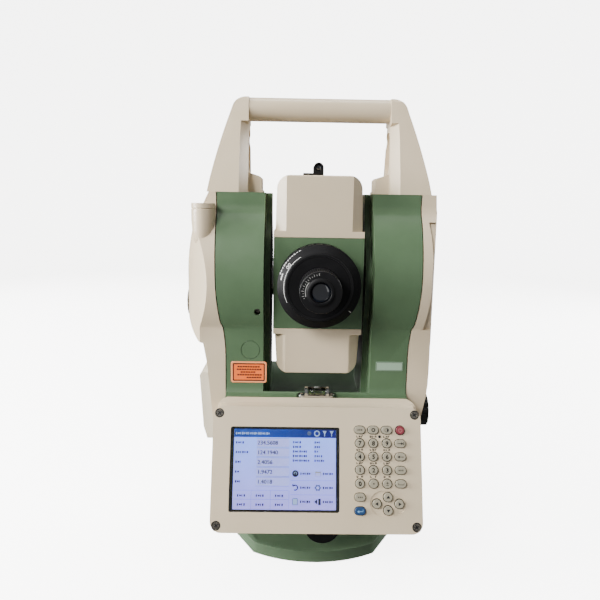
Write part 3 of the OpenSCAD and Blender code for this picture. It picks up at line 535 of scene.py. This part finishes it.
def make_screen():
    n0 = -1.5
    bm = bmesh.new()
    outer, inner = rounded(78.3, 58.9, 1.4), rounded(LCD_W, LCD_H, 0.3)
    add_ring(bm, outer, inner, n0 - 0.02, n0 + 0.12)
    piece("screen_border", bm, LCD, "lcd_edge", "alidade", smooth=False)

    bm = bmesh.new()
    add_prism(bm, rounded(LCD_W, LCD_H, 0.3), n0, n0 + 0.05)
    piece("lcd_background", bm, LCD, "lcd_back", "alidade", smooth=False)

    bm = bmesh.new()
    x, y = lcd(0.5, 0.052)
    add_prism(bm, rounded(LCD_W - 0.1, LCD_H * 0.104, 0.15), n0 + 0.05, n0 + 0.07, (x, y))
    piece("lcd_title_bar", bm, LCD, "lcd_title", "alidade", smooth=False)

    z0, z1 = n0 + 0.05, n0 + 0.07
    boxes, lines, text, white = bmesh.new(), bmesh.new(), bmesh.new(), bmesh.new()
    dark, tan, steel = bmesh.new(), bmesh.new(), bmesh.new()

    def bar(bm, fx0, fx1, fy, h, top=0.0):
        x0, y = lcd(fx0, fy)
        x1, _ = lcd(fx1, fy)
        add_prism(bm, rounded(x1 - x0, h, min(h, x1 - x0) * 0.2, 2), z0 + top, z1 + top,
                  ((x0 + x1) / 2, y))

    def words(bm, fx0, fx1, fy, h, top=0.0, step=0.021):
        """A run of short dashes where a line of writing would be."""
        x = fx0
        k = 0
        while x < fx1 - 0.006:
            w = step * (0.62, 0.8, 0.5, 0.72)[k % 4]
            bar(bm, x, min(x + w, fx1), fy, h * (1.0, 0.75, 0.9)[k % 3], top)
            x += step
            k += 1

    # Value boxes with their figures, and a short mark where each one's name would be
    values = ["234.5608", "124.1940", "2.4056", "1.9472", "1.4018"]
    for i, value in enumerate(values):
        fy = 0.172 + 0.1215 * i
        bar(boxes, 0.222, 0.542, fy, 5.7)
        for edge in (-3.0, 3.0):
            x0, y = lcd(0.222, fy)
            x1, _ = lcd(0.542, fy)
            add_prism(lines, [(x0, y + edge - 0.09), (x1, y + edge - 0.09), (x1, y + edge + 0.09),
                              (x0, y + edge + 0.09)], z0, z1 + 0.01)
        x, y = lcd(0.235, fy)
        width = 1.75 * len(value)
        for dx in (-0.1, 0, 0.1):
            add_digits(text, value, 2.9, (x + width / 2 + dx, y - 1.4), z1, 0.02)
        words(text, 0.018, 0.018 + (0.085, 0.125, 0.05, 0.04, 0.05)[i], fy, 1.7)
    # Status lines, upper right
    for i in range(5):
        fy = 0.163 + 0.0575 * i
        words(text, 0.578, 0.578 + (0.085, 0.08, 0.15, 0.15, 0.17)[i], fy, 1.6)
        words(text, 0.79, 0.79 + (0.06, 0.055, 0.035, 0.075, 0.095)[i], fy, 1.6)
    # Buttons and their pictures, lower right
    for r, fy in enumerate((0.555, 0.728, 0.9)):
        for c, fx in enumerate((0.605, 0.825)):
            x, y = lcd(fx, fy)
            words(text, fx + 0.048, fx + 0.158, fy, 1.7)
            if (r, c) == (0, 0):
                add_prism(dark, ring_points(2.35, 28), z0, z1, (x, y))
                add_ribbon(white, [(x + a, y + 0.2 + b) for a, b in ring_points(0.9, 14, -60, 220)],
                           0.35, z1, z1 + 0.02)
            elif (r, c) == (0, 1):
                add_prism(tan, rounded(4.4, 3.4, 0.4, 3), z0, z1, (x, y))
                add_prism(boxes, rounded(3.6, 2.0, 0.2, 2), z1, z1 + 0.02, (x, y - 0.4))
            elif (r, c) == (1, 0):
                add_ribbon(dark, [(x + a, y + b) for a, b in ring_points(1.7, 20, -120, 150)], 0.8,
                           z0, z1)
                add_prism(dark, [(x - 2.5, y + 1.5), (x - 0.6, y + 1.0), (x - 1.6, y + 2.6)],
                          z0, z1)
            elif (r, c) == (1, 1):
                add_ribbon(steel, [(x + a, y + b) for a, b in ring_points(1.5, 20)],
                           0.9, z0, z1, True)
                for k in range(6):
                    a = math.radians(60 * k)
                    add_ribbon(steel, [(x + 1.6 * math.cos(a), y + 1.6 * math.sin(a)),
                                       (x + 2.4 * math.cos(a), y + 2.4 * math.sin(a))], 0.8, z0, z1)
            elif (r, c) == (2, 0):
                add_prism(white, rounded(3.6, 4.4, 0.5, 3), z0, z1, (x, y))
                add_ribbon(steel, [(x + a, y + b) for a, b in rounded(3.6, 4.4, 0.5, 3)], 0.4,
                           z1, z1 + 0.02, True)
            else:
                add_prism(dark, [(x - 2.5, y), (x - 0.4, y - 1.9), (x - 0.4, y + 1.9)], z0, z1)
                add_prism(dark, rounded(1.7, 4.4, 0.2, 2), z0, z1, (x + 1.2, y))
    for fy in (0.64, 0.815):
        bar(lines, 0.56, 0.985, fy, 0.16)
    # Tabs, lower left
    for r, fy in enumerate((0.83, 0.94)):
        for c, fx in enumerate((0.088, 0.268, 0.455)):
            words(text, fx - 0.045, fx + 0.045, fy, 1.7)
    bar(lines, 0.005, 0.54, 0.875, 0.18)
    bar(lines, 0.005, 0.54, 0.765, 0.14)
    for fx in (0.178, 0.365, 0.545):
        x, y0 = lcd(fx, 0.765)
        _, y1 = lcd(fx, 0.995)
        add_prism(lines, [(x - 0.08, y1), (x + 0.08, y1), (x + 0.08, y0), (x - 0.08, y0)], z0, z1)
    # Title bar: marks for its words, and four pictures
    words(white, 0.015, 0.345, 0.056, 1.7, 0.02, 0.02)
    x, y = lcd(0.737, 0.05)
    add_prism(steel, ring_points(1.5, 20), z1, z1 + 0.02, (x, y))
    x, y = lcd(0.813, 0.05)
    add_ribbon(white, [(x + a, y + b) for a, b in ring_points(1.75, 24)], 0.75, z1, z1 + 0.02, True)
    for fx in (0.889, 0.958):
        x, y = lcd(fx, 0.05)
        add_prism(white, [(x - 1.5, y + 1.9), (x - 0.3, y - 0.3),
                          (x - 0.3, y - 2.0), (x + 0.3, y - 2.0),
                          (x + 0.3, y - 0.3), (x + 1.5, y + 1.9)], z1, z1 + 0.02)
    for name, bm, mat in (("lcd_boxes", boxes, "lcd_box"), ("lcd_lines", lines, "lcd_line"),
                          ("lcd_figures", text, "lcd_text"),
                           ("lcd_white_marks", white, "lcd_white"),
                          ("lcd_dark_marks", dark, "lcd_dark"), ("lcd_tan_marks", tan, "lcd_tan"),
                          ("lcd_steel_marks", steel, "lcd_steel")):
        piece(name, bm, LCD, mat, "alidade", smooth=False)

    # Touch layer: a thin clear sheet over the lit area
    bm = bmesh.new()
    add_prism(bm, rounded(78.0, 58.6, 1.3), n0 + 0.30, n0 + 0.55)
    piece("touch_sheet", bm, LCD, "glass", "alidade", smooth=False)


# ---------------------------------------------------------------- keys
KEYS = [
    ("key_function", 0, 0), ("key_backlight", 1, 0), ("key_contrast", 2, 0), ("key_power", 3, 0),
    ("key_7", 0, 1), ("key_8", 1, 1), ("key_9", 2, 1), ("key_tab", 3, 1),
    ("key_4", 0, 2), ("key_5", 1, 2), ("key_6", 2, 2), ("key_backspace", 3, 2),
    ("key_1", 0, 3), ("key_2", 1, 3), ("key_3", 2, 3), ("key_control", 3, 3),
    ("key_0", 0, 4), ("key_point", 1, 4), ("key_sign", 2, 4), ("key_space", 3, 4),
    ("key_escape", 0, 5), ("key_enter", 0, 6),
]
WIDE_KEYS = {"key_function", "key_backlight", "key_contrast", "key_tab", "key_backspace",
             "key_control", "key_space", "key_escape", "key_enter"}
ARROWS = {"key_up": (0, 4.5, 90), "key_down": (0, -4.5, -90), "key_left": (-8, 0, 180),
          "key_right": (8, 0, 0)}


def key_mark(bm, name, z0, z1):
    """The mark on a key's face: its digit, or a plain sign."""
    digit = name[4:]
    if digit.isdigit():
        for dx, dy in ((-0.16, 0), (0.16, 0), (0, 0.16), (0, -0.16)):
            add_digits(bm, digit, 3.1, (dx, dy), z0, z1 - z0)
    elif name == "key_point":
        add_prism(bm, ring_points(0.5, 14), z0, z1)
    elif name == "key_sign":
        add_ribbon(bm, [(-0.9, 0.5), (0.9, 0.5)], 0.42, z0, z1)
        add_ribbon(bm, [(0, -0.4), (0, 1.4)], 0.42, z0, z1)
        add_ribbon(bm, [(-0.9, -1.1), (0.9, -1.1)], 0.42, z0, z1)
    elif name == "key_power":
        add_ribbon(bm, ring_points(1.25, 22, 120, 420), 0.38, z0, z1)
        add_ribbon(bm, [(0, 0.2), (0, 1.7)], 0.38, z0, z1)
    elif name == "key_backlight":
        add_ribbon(bm, ring_points(1.05, 22), 0.7, z0, z1, True)
    elif name == "key_contrast":
        add_ribbon(bm, ring_points(1.35, 22), 0.3, z0, z1, True)
        add_prism(bm, ring_points(1.1, 14, -90, 90), z0, z1)
    elif name == "key_enter":
        add_ribbon(bm, [(1.9, 1.1), (1.9, -0.3), (-1.0, -0.3)], 0.42, z0, z1)
        add_prism(bm, [(-2.2, -0.3), (-0.8, -1.2), (-0.8, 0.6)], z0, z1)
    elif name == "key_backspace":
        add_ribbon(bm, [(-0.8, 0), (2.2, 0)], 0.5, z0, z1)
        add_prism(bm, [(-2.3, 0), (-0.7, -1.1), (-0.7, 1.1)], z0, z1)
    elif name == "key_tab":
        add_ribbon(bm, [(-2.2, 0), (0.8, 0)], 0.5, z0, z1)
        add_prism(bm, [(2.0, 0), (0.5, 1.1), (0.5, -1.1)], z0, z1)
        add_ribbon(bm, [(2.4, -1.1), (2.4, 1.1)], 0.42, z0, z1)
    elif name == "key_space":
        add_ribbon(bm, [(-2.0, 0.5), (-2.0, -0.5), (2.0, -0.5), (2.0, 0.5)], 0.42, z0, z1)
    else:
        for k in (-1, 0, 1):
            add_ribbon(bm, [(k * 1.3 - 0.35, 0.0), (k * 1.3 + 0.35, 0.0)], 1.0, z0, z1)


def make_key_marks():
    z0, z1 = KEY_TOP - 0.02, KEY_TOP + 0.03
    for name, c, r in KEYS:
        bm = bmesh.new()
        key_mark(bm, name, z0, z1)
        ink_name = {"key_power": "ink_red", "key_enter": "ink_blue"}.get(name, "ink_and_shade_dark")
        piece(name + "_mark", bm, at(PANEL, KEY_X[c], KEY_Y[r], 0), ink_name, name, smooth=False)
    for name, (dx, dy, turn) in ARROWS.items():
        bm = bmesh.new()
        add_prism(bm, [(1.35, 0), (-0.8, 1.35), (-0.8, -1.35)], z0, z1)
        piece(name + "_mark", bm, at(PANEL, PAD[0] + dx, PAD[1] + dy, 0, turn), "ink_and_shade_dark", name,
              smooth=False)
    # Small printed marks over the digit keys
    bm = bmesh.new()
    for r in range(1, 5):
        for c in range(3):
            for k in (-1, 0, 1):
                if r == 4 and k == 0:
                    continue
                x, y = KEY_X[c] + k * 1.75, KEY_Y[r] + 4.62
                add_ribbon(bm, [(x - 0.4, y - 0.7), (x - 0.4, y + 0.7)], 0.52, 0.0, 0.03)
                add_ribbon(bm, [(x - 0.4, y + 0.5 * k), (x + 0.5, y + 0.5 * k)], 0.5, 0.0, 0.03)
                if (r + c + k) % 2:
                    add_ribbon(bm, [(x + 0.4, y - 0.7), (x + 0.4, y + 0.7)], 0.52, 0.0, 0.03)
    piece("key_legends", bm, PANEL, "ink_and_shade_dark", "alidade", smooth=False)
    # Painted shade: flat near-black rings on the panel round each key, where the gaps between keys
    # and panel fall in shadow
    bm = bmesh.new()
    for name, c, r in KEYS:
        if name in WIDE_KEYS:
            outer, inner = rounded(8.5, 6.3, 3.1), rounded(7.9, 5.7, 2.8)
        else:
            outer, inner = ring_points(3.6, 32), ring_points(3.2, 32)
        add_ring(bm, outer, inner, -0.02, 0.03, (KEY_X[c], KEY_Y[r]))
    for dx, dy, _ in ARROWS.values():
        add_ring(bm, ring_points(3.6, 32), ring_points(3.2, 32), -0.52, -0.47,
                 (PAD[0] + dx, PAD[1] + dy))
    piece("key_gap_shade", bm, PANEL, "ink_and_shade_dark", "alidade", smooth=False)
    # Light sensor
    bm = bmesh.new()
    add_lathe(bm, [(0, 0.5), (0.7, 0.42), (1.05, 0.12), (1.1, -0.3), (0, -0.3)], 24, (44.9, 23.2))
    piece("light_sensor", bm, PANEL, "black", "alidade")


# ---------------------------------------------------------------- details of the body
def make_labels():
    """A plain caution plate and a blank tag on the standards."""
    place = (-51.5, 143.75)
    bm = bmesh.new()
    add_prism(bm, rounded(27, 16.5, 1.6), -0.1, 0.28, place, 0.1)
    piece("label_plate", bm, FRONT, "orange_pale", "alidade", smooth=False)
    bm = bmesh.new()
    add_prism(bm, rounded(24, 13.5, 0.7), 0.25, 0.32, place)
    piece("label_field", bm, FRONT, "orange", "alidade", smooth=False)
    bm = bmesh.new()
    add_ring(bm, rounded(24.4, 13.9, 0.9), rounded(22.6, 12.1, 0.4), 0.30, 0.36, place)
    for k, (width, shift) in enumerate(((17, 0), (19, 0.4), (11, -0.6), (18, 0.3), (10, 3.4))):
        x = place[0] + shift - width / 2
        while x < place[0] + shift + width / 2 - 0.5:
            add_prism(bm, rounded(1.5, 1.15, 0.15, 2), 0.30, 0.36,
                      (x + 0.75, place[1] + 4.2 - 2.1 * k))
            x += 1.9
    piece("label_bars", bm, FRONT, "ink_brown", "alidade", smooth=False)
    bm = bmesh.new()
    add_prism(bm, rounded(20.5, 7, 0.8), -0.1, 0.25, (55.25, 149.5), 0.08)
    piece("number_tag", bm, FRONT, "pale_green", "alidade", smooth=False)
    bm = bmesh.new()
    add_ring(bm, rounded(19.9, 6.4, 0.6), rounded(19.3, 5.8, 0.4), 0.2, 0.28, (55.25, 149.5))
    piece("number_tag_border", bm, FRONT, "ink_soft", "alidade", smooth=False)
    bm = bmesh.new()
    add_prism(bm, rounded(26, 14, 1.2), -0.1, 0.4, (-52, 150), 0.15)
    piece("rating_plate", bm, BACK, "steel", "alidade", smooth=False)
    bm = bmesh.new()
    for dx, dy in ((-11, 5), (11, 5), (-11, -5), (11, -5)):
        add_lathe(bm, [(0, 0.9), (0.7, 0.75), (1.0, 0.35), (0, 0.35)], 16, (dx - 52, dy + 150))
    piece("rating_plate_rivets", bm, BACK, "chrome", "alidade")


def make_adjuster():
    """The slotted screw at the bottom of the small hole on the left standard."""
    bm = bmesh.new()
    add_lathe(bm, [(0, -3.2), (1.9, -3.2), (2.3, -3.6), (2.3, -4.9), (0, -4.9)], 32, (-45, 191))
    piece("adjuster_screw", bm, FRONT, "screw", "alidade")
    # Painted shade: the slot is a near-black strip laid over the screw head
    bm = bmesh.new()
    add_ribbon(bm, [(-46.6, 190.4), (-43.4, 191.6)], 0.5, -3.3, -3.17)
    piece("adjuster_slot_shade", bm, FRONT, "shade_dark", "alidade", smooth=False)


def make_eyepiece():
    def onto_cone(bm):
        for v in bm.verts:
            v.co.z += 57.4 + (30.5 - math.hypot(v.co.x, v.co.y)) * 5.1 / 6

    # Distance marks on the focus ring's sloping face
    bm = bmesh.new()
    for k in range(11):
        add_ribbon(bm, ring_points(29.6, 3, 118 + 4.2 * k, 120.6 + 4.2 * k), 0.5, -0.06, 0.07)
    add_ribbon(bm, ring_points(25.6, 40, 122, 206), 0.3, -0.06, 0.07)
    add_ribbon(bm, ring_points(28.0, 8, 160, 170), 0.7, -0.06, 0.07)
    for side in (-1, 1):
        mid = polar(26.9, 146 + side * 2.4)
        add_ribbon(bm, [(mid[0] + x, mid[1] + y) for x, y in ring_points(0.85, 18)], 0.34, -0.06,
                   0.07, True)
    add_ribbon(bm, [polar(27.6, 322), polar(29.8, 322)], 0.6, -0.06, 0.07)
    onto_cone(bm)
    piece("focus_marks", bm, EYE, "ink_and_highlight_white", "focus_ring", smooth=False)
    # A raised lip round the focus ring's face
    bm = bmesh.new()
    add_lathe(bm, [(24.3, 62.3), (24.2, 62.75), (23.6, 62.9), (22.6, 62.75), (22.5, 62.3),
                   (24.3, 62.3)], 96)
    piece("focus_lip", bm, EYE, "anodised", "focus_ring")

    # Knurl, scale and eyecup of the diopter ring
    bm = bmesh.new()
    add_ring(bm, toothed(14.85, 0.45, 60), ring_points(13.9, 240), 68, 82)
    piece("diopter_knurl", bm, EYE, "rubber", "diopter_ring", smooth=False)
    bm = bmesh.new()
    for k in range(14):
        a = 96 + 8 * k
        add_ribbon(bm, [polar(11.6, a), polar(12.6 if k % 2 else 13.2, a)], 0.24, 85.98, 86.06)
    add_ribbon(bm, ring_points(10.6, 24, 140, 196), 0.36, 85.98, 86.06)
    piece("diopter_marks", bm, EYE, "ink_and_highlight_white", "diopter_ring", smooth=False)
    bm = bmesh.new()
    add_lathe(bm, [(7.05, 84.2), (7.05, 87.0), (7.5, 87.5), (8.7, 87.5), (9.4, 87.1), (9.75, 86.7),
                   (9.75, 86.3), (9.45, 86.1), (9.45, 84.4), (7.05, 84.2)], 64)
    piece("eyecup", bm, EYE, "rubber", "diopter_ring")
    bm = bmesh.new()
    profile = [(6.95 * math.sin(math.radians(a)), 78.6 + 7.2 * math.cos(math.radians(a * 0.45)))
               for a in range(0, 91, 10)]
    add_lathe(bm, profile + [(6.95, 84.1), (0, 84.1)], 48)
    piece("eye_lens", bm, EYE, "lens_eye", "diopter_ring")


def make_levels():
    """Fluid, bubble and graduations of the two levels."""
    vial = at(WORLD, 0, LEVEL_Y, LEVEL_Z, 90, "Y")
    bm = bmesh.new()
    add_lathe(bm, [(0, -6.3), (2.5, -6.1), (2.9, -5.4), (3.05, 0),
                   (2.9, 5.4), (2.5, 6.1), (0, 6.3)], 32)
    piece("vial_fluid", bm, vial, "vial_fluid", "alidade")
    # Painted shade: a near-black shell round the lower half of the fluid, darkening the vial as the
    # shade of its gap would
    bm = bmesh.new()
    add_prism(bm, ring_points(3.5, 20, -70, 70), -6.6, 6.6)
    piece("vial_back_shade", bm, vial, "shade_dark", "alidade", smooth=False)
    bm = bmesh.new()
    for v in (-3.0, -1.6, 1.6, 3.0):
        add_ring(bm, ring_points(3.86, 48), ring_points(3.76, 48), v - 0.13, v + 0.13)
    piece("vial_graduations", bm, vial, "ink_and_shade_dark", "alidade", smooth=False)
    # Painted highlight: the bubble is solid white, standing in for the light it catches
    bm = bmesh.new()
    add_lathe(bm, [(0, -2.3), (0.6, -2.1), (0.95, -1.5), (0.95, 1.5), (0.6, 2.1), (0, 2.3)], 20,
              (-2.95, 0))
    piece("vial_bubble", bm, vial, "ink_and_highlight_white", "alidade")
    bm = bmesh.new()
    for x in (-11.2, 11.2):
        add_lathe(bm, [(0, 129.7), (0.9, 129.7), (1.5, 129.4), (1.5, 126.9), (0, 126.9)],
                  24, (x, TRAY_Y))
    piece("level_screws", bm, WORLD, "chrome", "alidade")
    # Painted shade: near-black strips for the slots of the two level screws
    bm = bmesh.new()
    for x in (-11.2, 11.2):
        add_ribbon(bm, [(x - 1.1, TRAY_Y - 0.5), (x + 1.1, TRAY_Y + 0.5)], 0.4, 129.6, 129.76)
    piece("level_screw_slot_shade", bm, WORLD, "shade_dark", "alidade", smooth=False)

    cup = Matrix.Rotation(math.radians(30), 4, "Z") @ Matrix.Translation((56, 0, 0))
    bm = bmesh.new()
    add_ring(bm, ring_points(2.9, 40), ring_points(2.5, 40), 46.75, 46.88)
    piece("circular_level_ring", bm, cup, "ink_and_shade_dark", "base", smooth=False)
    # Painted highlight: the bubble is a solid white disc, standing in for the light it catches
    bm = bmesh.new()
    add_lathe(bm, [(0, 46.6), (1.5, 46.5), (1.9, 46.1), (1.5, 45.7), (0, 45.6)], 32, (0.2, 0.1))
    piece("circular_level_bubble", bm, cup, "ink_and_highlight_white", "base")
    bm = bmesh.new()
    for a in (0, 120, 240):
        add_lathe(bm, [(0, 48.0), (0.55, 48.0), (0.8, 47.8), (0.8, 47.3), (0, 47.3)],
                  16, polar(8.1, a))
    piece("circular_level_screws", bm, cup, "screw", "base")


def make_objective():
    """Retaining ring, filter thread and lens dome inside the hood."""
    bm = bmesh.new()
    add_ring(bm, ring_points(20.0, 96), ring_points(18.3, 96), 70.0, 71.2)
    add_ring(bm, ring_points(24.05, 96), ring_points(20.2, 96), 77.6, 78.3)
    piece("objective_rings", bm, FAR, "anodised", "telescope", edge=0.2)
    bm = bmesh.new()
    for k in range(5):
        z = 72.4 + 0.9 * k
        add_lathe(bm, [(20.0, z), (19.65, z + 0.3), (20.0, z + 0.6), (20.0, z)], 72)
    piece("objective_thread", bm, FAR, "anodised", "telescope")
    bm = bmesh.new()
    profile = [(18.3 * math.sin(math.radians(a)), 66.9 + 4.4 * math.cos(math.radians(a)) ** 1.2)
               for a in range(0, 90, 9)]
    add_lathe(bm, profile + [(18.3, 66.9), (0, 66.9)], 72)
    piece("objective_dome", bm, FAR, "lens_front", "telescope")
    for name, way in (("sight_lens_eye", EYE), ("sight_lens_far", FAR)):
        bm = bmesh.new()
        add_lathe(bm, [(0, 5.6), (1.5, 5.4), (2.85, 4.8), (2.85, 3.6), (0, 3.6)], 32, (0, 87.2))
        piece(name, bm, way, "lens_eye", "telescope")


def add_screw_face(metal, dark, r=2.3):
    """A flush cross-head screw: its head, and near-black painted shade for its cross recess and the
    gap round it.
    """
    add_lathe(metal, [(0, 0.12), (r - 0.7, 0.12), (r - 0.2, 0.0),
                      (r, -0.2), (r, -0.8), (0, -0.8)], 32)
    add_ring(dark, ring_points(r + 0.5, 32), ring_points(r - 0.05, 32), -0.5, 0.04)
    add_ribbon(dark, [(-r * 0.55, 0), (r * 0.55, 0)], 0.55, 0.0, 0.16)
    add_ribbon(dark, [(0, -r * 0.55), (0, r * 0.55)], 0.55, 0.0, 0.16)


def make_panel_screws():
    """Painted shade for the keypad frame's screws, on the CAD heads: near-black rings in the gaps
    and recesses, and crosses.
    """
    bm = bmesh.new()
    for x in (-70.6, 70.6):
        for y in (-38.8, 38.8):
            add_ring(bm, ring_points(3.35, 40), ring_points(2.78, 40), -0.02, 0.03, (x, y))
            add_ring(bm, ring_points(2.8, 40), ring_points(2.38, 40), -1.6, -1.1, (x, y))
            for a in (35, 125):
                end = polar(1.5, a)
                add_ribbon(bm, [(x - end[0], y - end[1]), (x + end[0], y + end[1])],
                           0.75, -0.3, -0.16)
    piece("panel_screw_shade", bm, PANEL, "shade_dark", "alidade", smooth=False)


def make_cover_details():
    for side, node in ((-1, "left_cover"), (1, "right_cover")):
        places = ((-30, 150), (30, 150), (-22, 262), (22, 262), (-32, 70), (32, 70))
        for k, (y, z) in enumerate(places):
            metal, dark = bmesh.new(), bmesh.new()
            add_screw_face(metal, dark)
            space = seat(node, (side * 130, y, z), (-side, 0, 0))
            piece(f"{node}_screw_{k}", metal, space, "screw", "alidade")
            # Painted shade: a near-black ring in the gap round the head and a cross for its recess
            piece(f"{node}_screw_{k}_recess", dark, space, "shade_dark", "alidade", smooth=False)
    # Height mark of the tilting axis
    bm = bmesh.new()
    add_ring(bm, ring_points(3.6, 40), ring_points(3.2, 40), -0.2, 0.06)
    add_prism(bm, ring_points(0.6, 20), -0.2, 0.06)
    for a in (0, 90, 180, 270):
        add_ribbon(bm, [polar(1.4, a), polar(2.6, a)], 0.35, -0.2, 0.06)
    piece("axis_height_mark", bm, seat("right_cover", (130, 0, AXIS_Z), (-1, 0, 0)), "ink_and_shade_dark",
          "alidade", smooth=False)
    # Rubber cap over the data port
    bm = bmesh.new()
    add_lathe(bm, [(0, 1.6), (5.4, 1.6), (6.6, 1.3), (7.0, 0.6),
                   (7.6, 0.4), (7.6, -1.2), (0, -1.2)], 48)
    add_ring(bm, ring_points(4.6, 36), ring_points(4.0, 36), 1.5, 1.9)
    add_prism(bm, rounded(5, 4.4, 1.6), 0.1, 1.1, (8.4, 0), 0.2)
    piece("port_cap", bm, seat("right_cover", (130, 26, 88), (-1, 0, 0)), "rubber", "alidade",
          edge=0.15)
    # Grip ribs on the battery's latch
    bm = bmesh.new()
    add_prism(bm, rounded(20, 9, 1.5), -1.0, 0.7, (0, 0), 0.3)
    for k in range(7):
        add_prism(bm, rounded(1.0, 6.6, 0.45), 0.6, 1.25, (2.4 * (k - 3), 0), 0.2)
    piece("battery_latch", bm, seat("battery_pack", (-130, 6, 98), (1, 0, 0)), "battery", "alidade",
          edge=0.1)


make_screen()
make_key_marks()
make_labels()
make_adjuster()
make_eyepiece()
make_levels()
make_objective()
make_panel_screws()
make_cover_details()


# ---------------------------------------------------------------- stage
def make_floor():
    """A pale round floor that curves up into a wall all round, in metres."""
    bm = bmesh.new()
    curve = [(2.0 + 0.6 * math.sin(a), 0.6 - 0.6 * math.cos(a))
             for a in [math.radians(9 * i) for i in range(11)]]
    add_lathe(bm, [(0, 0)] + curve + [(2.6, 3.2)], 96)
    mesh = bpy.data.meshes.new("studio_floor")
    bm.to_mesh(mesh)
    bm.free()
    for p in mesh.polygons:
        p.use_smooth = True
    o = bpy.data.objects.new("studio_floor", mesh)
    bpy.context.scene.collection.objects.link(o)
    paper = moulded("studio_paper", (0.86, 0.86, 0.86), 0.9, 300, 0.01, 0.004)
    shader = paper.node_tree.nodes["Principled BSDF"]
    shader.inputs["Emission Color"].default_value = (1, 0.995, 0.985, 1)
    shader.inputs["Emission Strength"].default_value = 5.5
    mesh.materials.append(paper)
    # The paper is lit on its own, as a studio's backdrop is, and doesn't light the object
    o.visible_diffuse = False
    o.visible_glossy = False
    o.visible_transmission = False


def area_light(name, place, aim, size, power, tint=(1, 1, 1)):
    light = bpy.data.lights.new(name, "AREA")
    light.shape = "RECTANGLE"
    light.size, light.size_y = size
    light.energy = power
    light.color = tint
    o = bpy.data.objects.new(name, light)
    o.location = place
    o.rotation_euler = (Vector(aim) - Vector(place)).to_track_quat("-Z", "Y").to_euler()
    bpy.context.scene.collection.objects.link(o)


def make_camera():
    """The camera's place and turn for the main view."""
    pitch, yaw, roll = (math.radians(a) for a in (9.22, 0.81, 0.95))
    ahead = Vector((math.sin(yaw) * math.cos(pitch), math.cos(yaw) * math.cos(pitch),
                    -math.sin(pitch)))
    right = Vector((math.cos(yaw), -math.sin(yaw), 0))
    up = right.cross(ahead)
    right, up = (math.cos(roll) * right + math.sin(roll) * up,
                 math.cos(roll) * up - math.sin(roll) * right)
    data = bpy.data.cameras.new("camera")
    data.sensor_width = 36
    data.lens = 36 * 595.12 / 600
    data.clip_start = 0.01
    o = bpy.data.objects.new("camera", data)
    turn = Matrix((right, up, -ahead)).transposed().to_4x4()
    o.matrix_world = Matrix.Translation(Vector((-19.71, -482.98, 270.8)) * MM) @ turn
    bpy.context.scene.collection.objects.link(o)
    bpy.context.scene.camera = o


make_floor()
area_light("key_light", (-0.85, -1.0, 1.0), (0, 0, 0.2), (0.5, 0.5), 34, (1, 0.985, 0.96))
area_light("side_light", (-1.3, -0.25, 0.45), (0, 0, 0.2), (0.6, 0.9), 60)
area_light("fill_light", (1.0, -1.3, 0.5), (0, 0, 0.18), (0.9, 0.9), 3)
area_light("top_light", (0.0, 0.2, 1.5), (0, 0, 0.2), (1.0, 0.7), 14)
area_light("back_left_light", (-0.9, 1.1, 0.9), (0, 0, 0.2), (0.8, 0.8), 22)
area_light("back_right_light", (1.3, 0.7, 0.6), (0, 0, 0.2), (0.8, 0.8), 32)
world = bpy.data.worlds.new("studio")
bpy.context.scene.world = world
world.use_nodes = True
world.node_tree.nodes["Background"].inputs["Color"].default_value = (1, 1, 1, 1)
world.node_tree.nodes["Background"].inputs["Strength"].default_value = 0.24
make_camera()
